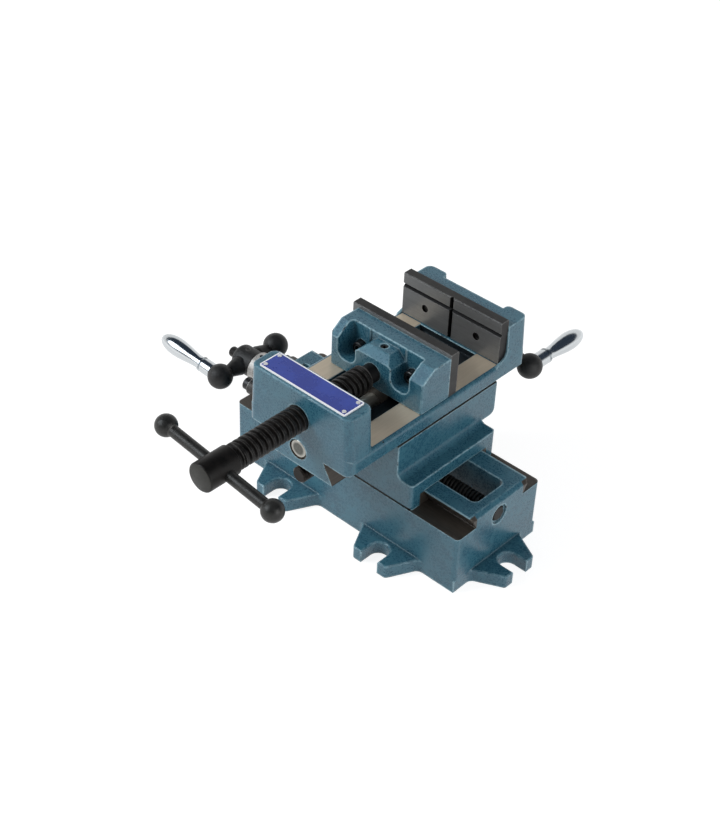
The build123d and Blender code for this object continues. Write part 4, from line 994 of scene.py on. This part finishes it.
def makeFloor():
    # A level square of two by two faces at height 0: grid points at -half, 0 and half each way
    side = np.linspace(-studio["floorHalf"], studio["floorHalf"], 3)
    x, y = np.meshgrid(side, side)
    points = np.stack([x.ravel(), y.ravel(), np.full(x.size, 0.0)], axis=1)
    cell = np.array([0, 1, 4, 3])
    faces = [(cell + shift).tolist() for shift in (0, 1, 3, 4)]
    mesh = bpy.data.meshes.new("floor")
    mesh.from_pydata(points.tolist(), [], faces)
    floor = bpy.data.objects.new("floor", mesh)
    bpy.context.scene.collection.objects.link(floor)
    material = bpy.data.materials.new("paleFloor")
    tree, surface = newTree(material, "ShaderNodeOutputMaterial")
    glow = addNode(tree, "ShaderNodeEmission")
    away = vectorMaths(tree, "LENGTH", addNode(tree, "ShaderNodeTexCoord").outputs["Object"])
    feed(tree, glow.inputs["Strength"],
         remap(tree, away, *studio["floorReach"], *studio["floorGlow"]))
    both = addNode(tree, "ShaderNodeAddShader")
    feed(tree, both.inputs[0], matt(tree, studio["floorSeen"]))
    feed(tree, both.inputs[1], glow.outputs[0])
    path = addNode(tree, "ShaderNodeLightPath").outputs
    pick = addNode(tree, "ShaderNodeMixShader")
    feed(tree, pick.inputs[0], most(tree, path["Is Camera Ray"], path["Is Glossy Ray"],
                                    path["Is Transmission Ray"]))
    feed(tree, pick.inputs[1], matt(tree, studio["floor"]))
    feed(tree, pick.inputs[2], both.outputs[0])
    feed(tree, surface, pick.outputs[0])
    mesh.materials.append(material)


def makeSky():
    # White to the camera. As light it is white round the horizon, higher up at the back, under a
    # grey ceiling. Mirrored, that ceiling is dark blue, with a soft bright patch where the left
    # lamp stands
    world = bpy.data.worlds.new("studioSky")
    bpy.context.scene.world = world
    tree, surface = newTree(world, "ShaderNodeOutputWorld")
    toward = addNode(tree, "ShaderNodeTexCoord").outputs["Generated"]
    path = addNode(tree, "ShaderNodeLightPath").outputs
    seen = most(tree, path["Is Camera Ray"], path["Is Transmission Ray"])
    mirror = most(tree, path["Is Glossy Ray"], seen)
    behind = vectorMaths(tree, "DOT_PRODUCT", toward, studio["backdrop"])
    lift = times(tree, maths(tree, "MAXIMUM", behind, 0.0), studio["backdropRise"])
    height = minus(tree, splitAxes(tree, toward)[2], lift)
    rise = times(tree, remap(tree, height, *studio["band"]), inverse(tree, seen))
    towardLamp = Vector(studio["lamps"]["softLeft"][0]) - Vector(studio["aim"])
    near = vectorMaths(tree, "DOT_PRODUCT", toward, tuple(towardLamp.normalized()))
    patch = times(tree, remap(tree, near, *studio["patch"]), path["Is Glossy Ray"])
    ceiling = blendColour(tree, mirror, studio["ceilingLight"], studio["ceiling"])
    colour = layered(tree, (1.0, 1.0, 1.0, 1.0), (rise, ceiling), (patch, studio["patchColour"]))
    back = addNode(tree, "ShaderNodeBackground")
    feed(tree, back.inputs["Color"], colour)
    feed(tree, back.inputs["Strength"], remap(tree, mirror, 0.0, 1.0, studio["horizon"], 1.0))
    feed(tree, surface, back.outputs[0])


def makeLamp(name, place, size, power):
    data = bpy.data.lights.new(name, "AREA")
    data.shape = "SQUARE"
    data.size = size
    data.energy = power
    lamp = bpy.data.objects.new(name, data)
    bpy.context.scene.collection.objects.link(lamp)
    place = Vector(place)
    turn = (place - Vector(studio["aim"])).to_track_quat("Z", "Y").to_matrix().to_4x4()
    lamp.matrix_world = Matrix.Translation(place) @ turn
    lamp.visible_glossy = name != "softLeft"


# View solved from the photograph: degrees, distance and aim in mm, focus and width in pixels
view = {"azimuth": 41.4636, "height": 38.1859, "roll": 2.5492, "distance": 950.829,
        "aim": (-11.127, -11.117, 60.962), "focus": 1588.912, "width": 720,
        "sensor": 36.0, "nearest": 0.01, "farthest": 50.0}


def makeCamera():
    azimuth, height, roll = (math.radians(view[key]) for key in ("azimuth", "height", "roll"))
    back = Vector((math.sin(azimuth) * math.cos(height), -math.cos(azimuth) * math.cos(height),
                   math.sin(height)))
    right = Vector((math.cos(azimuth), math.sin(azimuth), 0))
    up = back.cross(right)
    across = right * math.cos(roll) + up * math.sin(roll)
    upright = up * math.cos(roll) - right * math.sin(roll)
    data = bpy.data.cameras.new("camera")
    data.sensor_fit = "HORIZONTAL"
    data.sensor_width = view["sensor"]
    data.lens = view["focus"] * view["sensor"] / view["width"]
    data.clip_start, data.clip_end = view["nearest"], view["farthest"]
    camera = bpy.data.objects.new("camera", data)
    bpy.context.scene.collection.objects.link(camera)
    turn = Matrix((across, upright, back)).transposed().to_4x4()
    place = Vector(view["aim"]) * mm + back * view["distance"] * mm
    camera.matrix_world = Matrix.Translation(place) @ turn
    bpy.context.scene.camera = camera


makeFloor()
makeSky()
for name, (place, size, power) in studio["lamps"].items():
    makeLamp(name, place, size, power)
makeCamera()
bpy.context.scene.view_settings.view_transform = "Standard"
print("stage: studio lit")
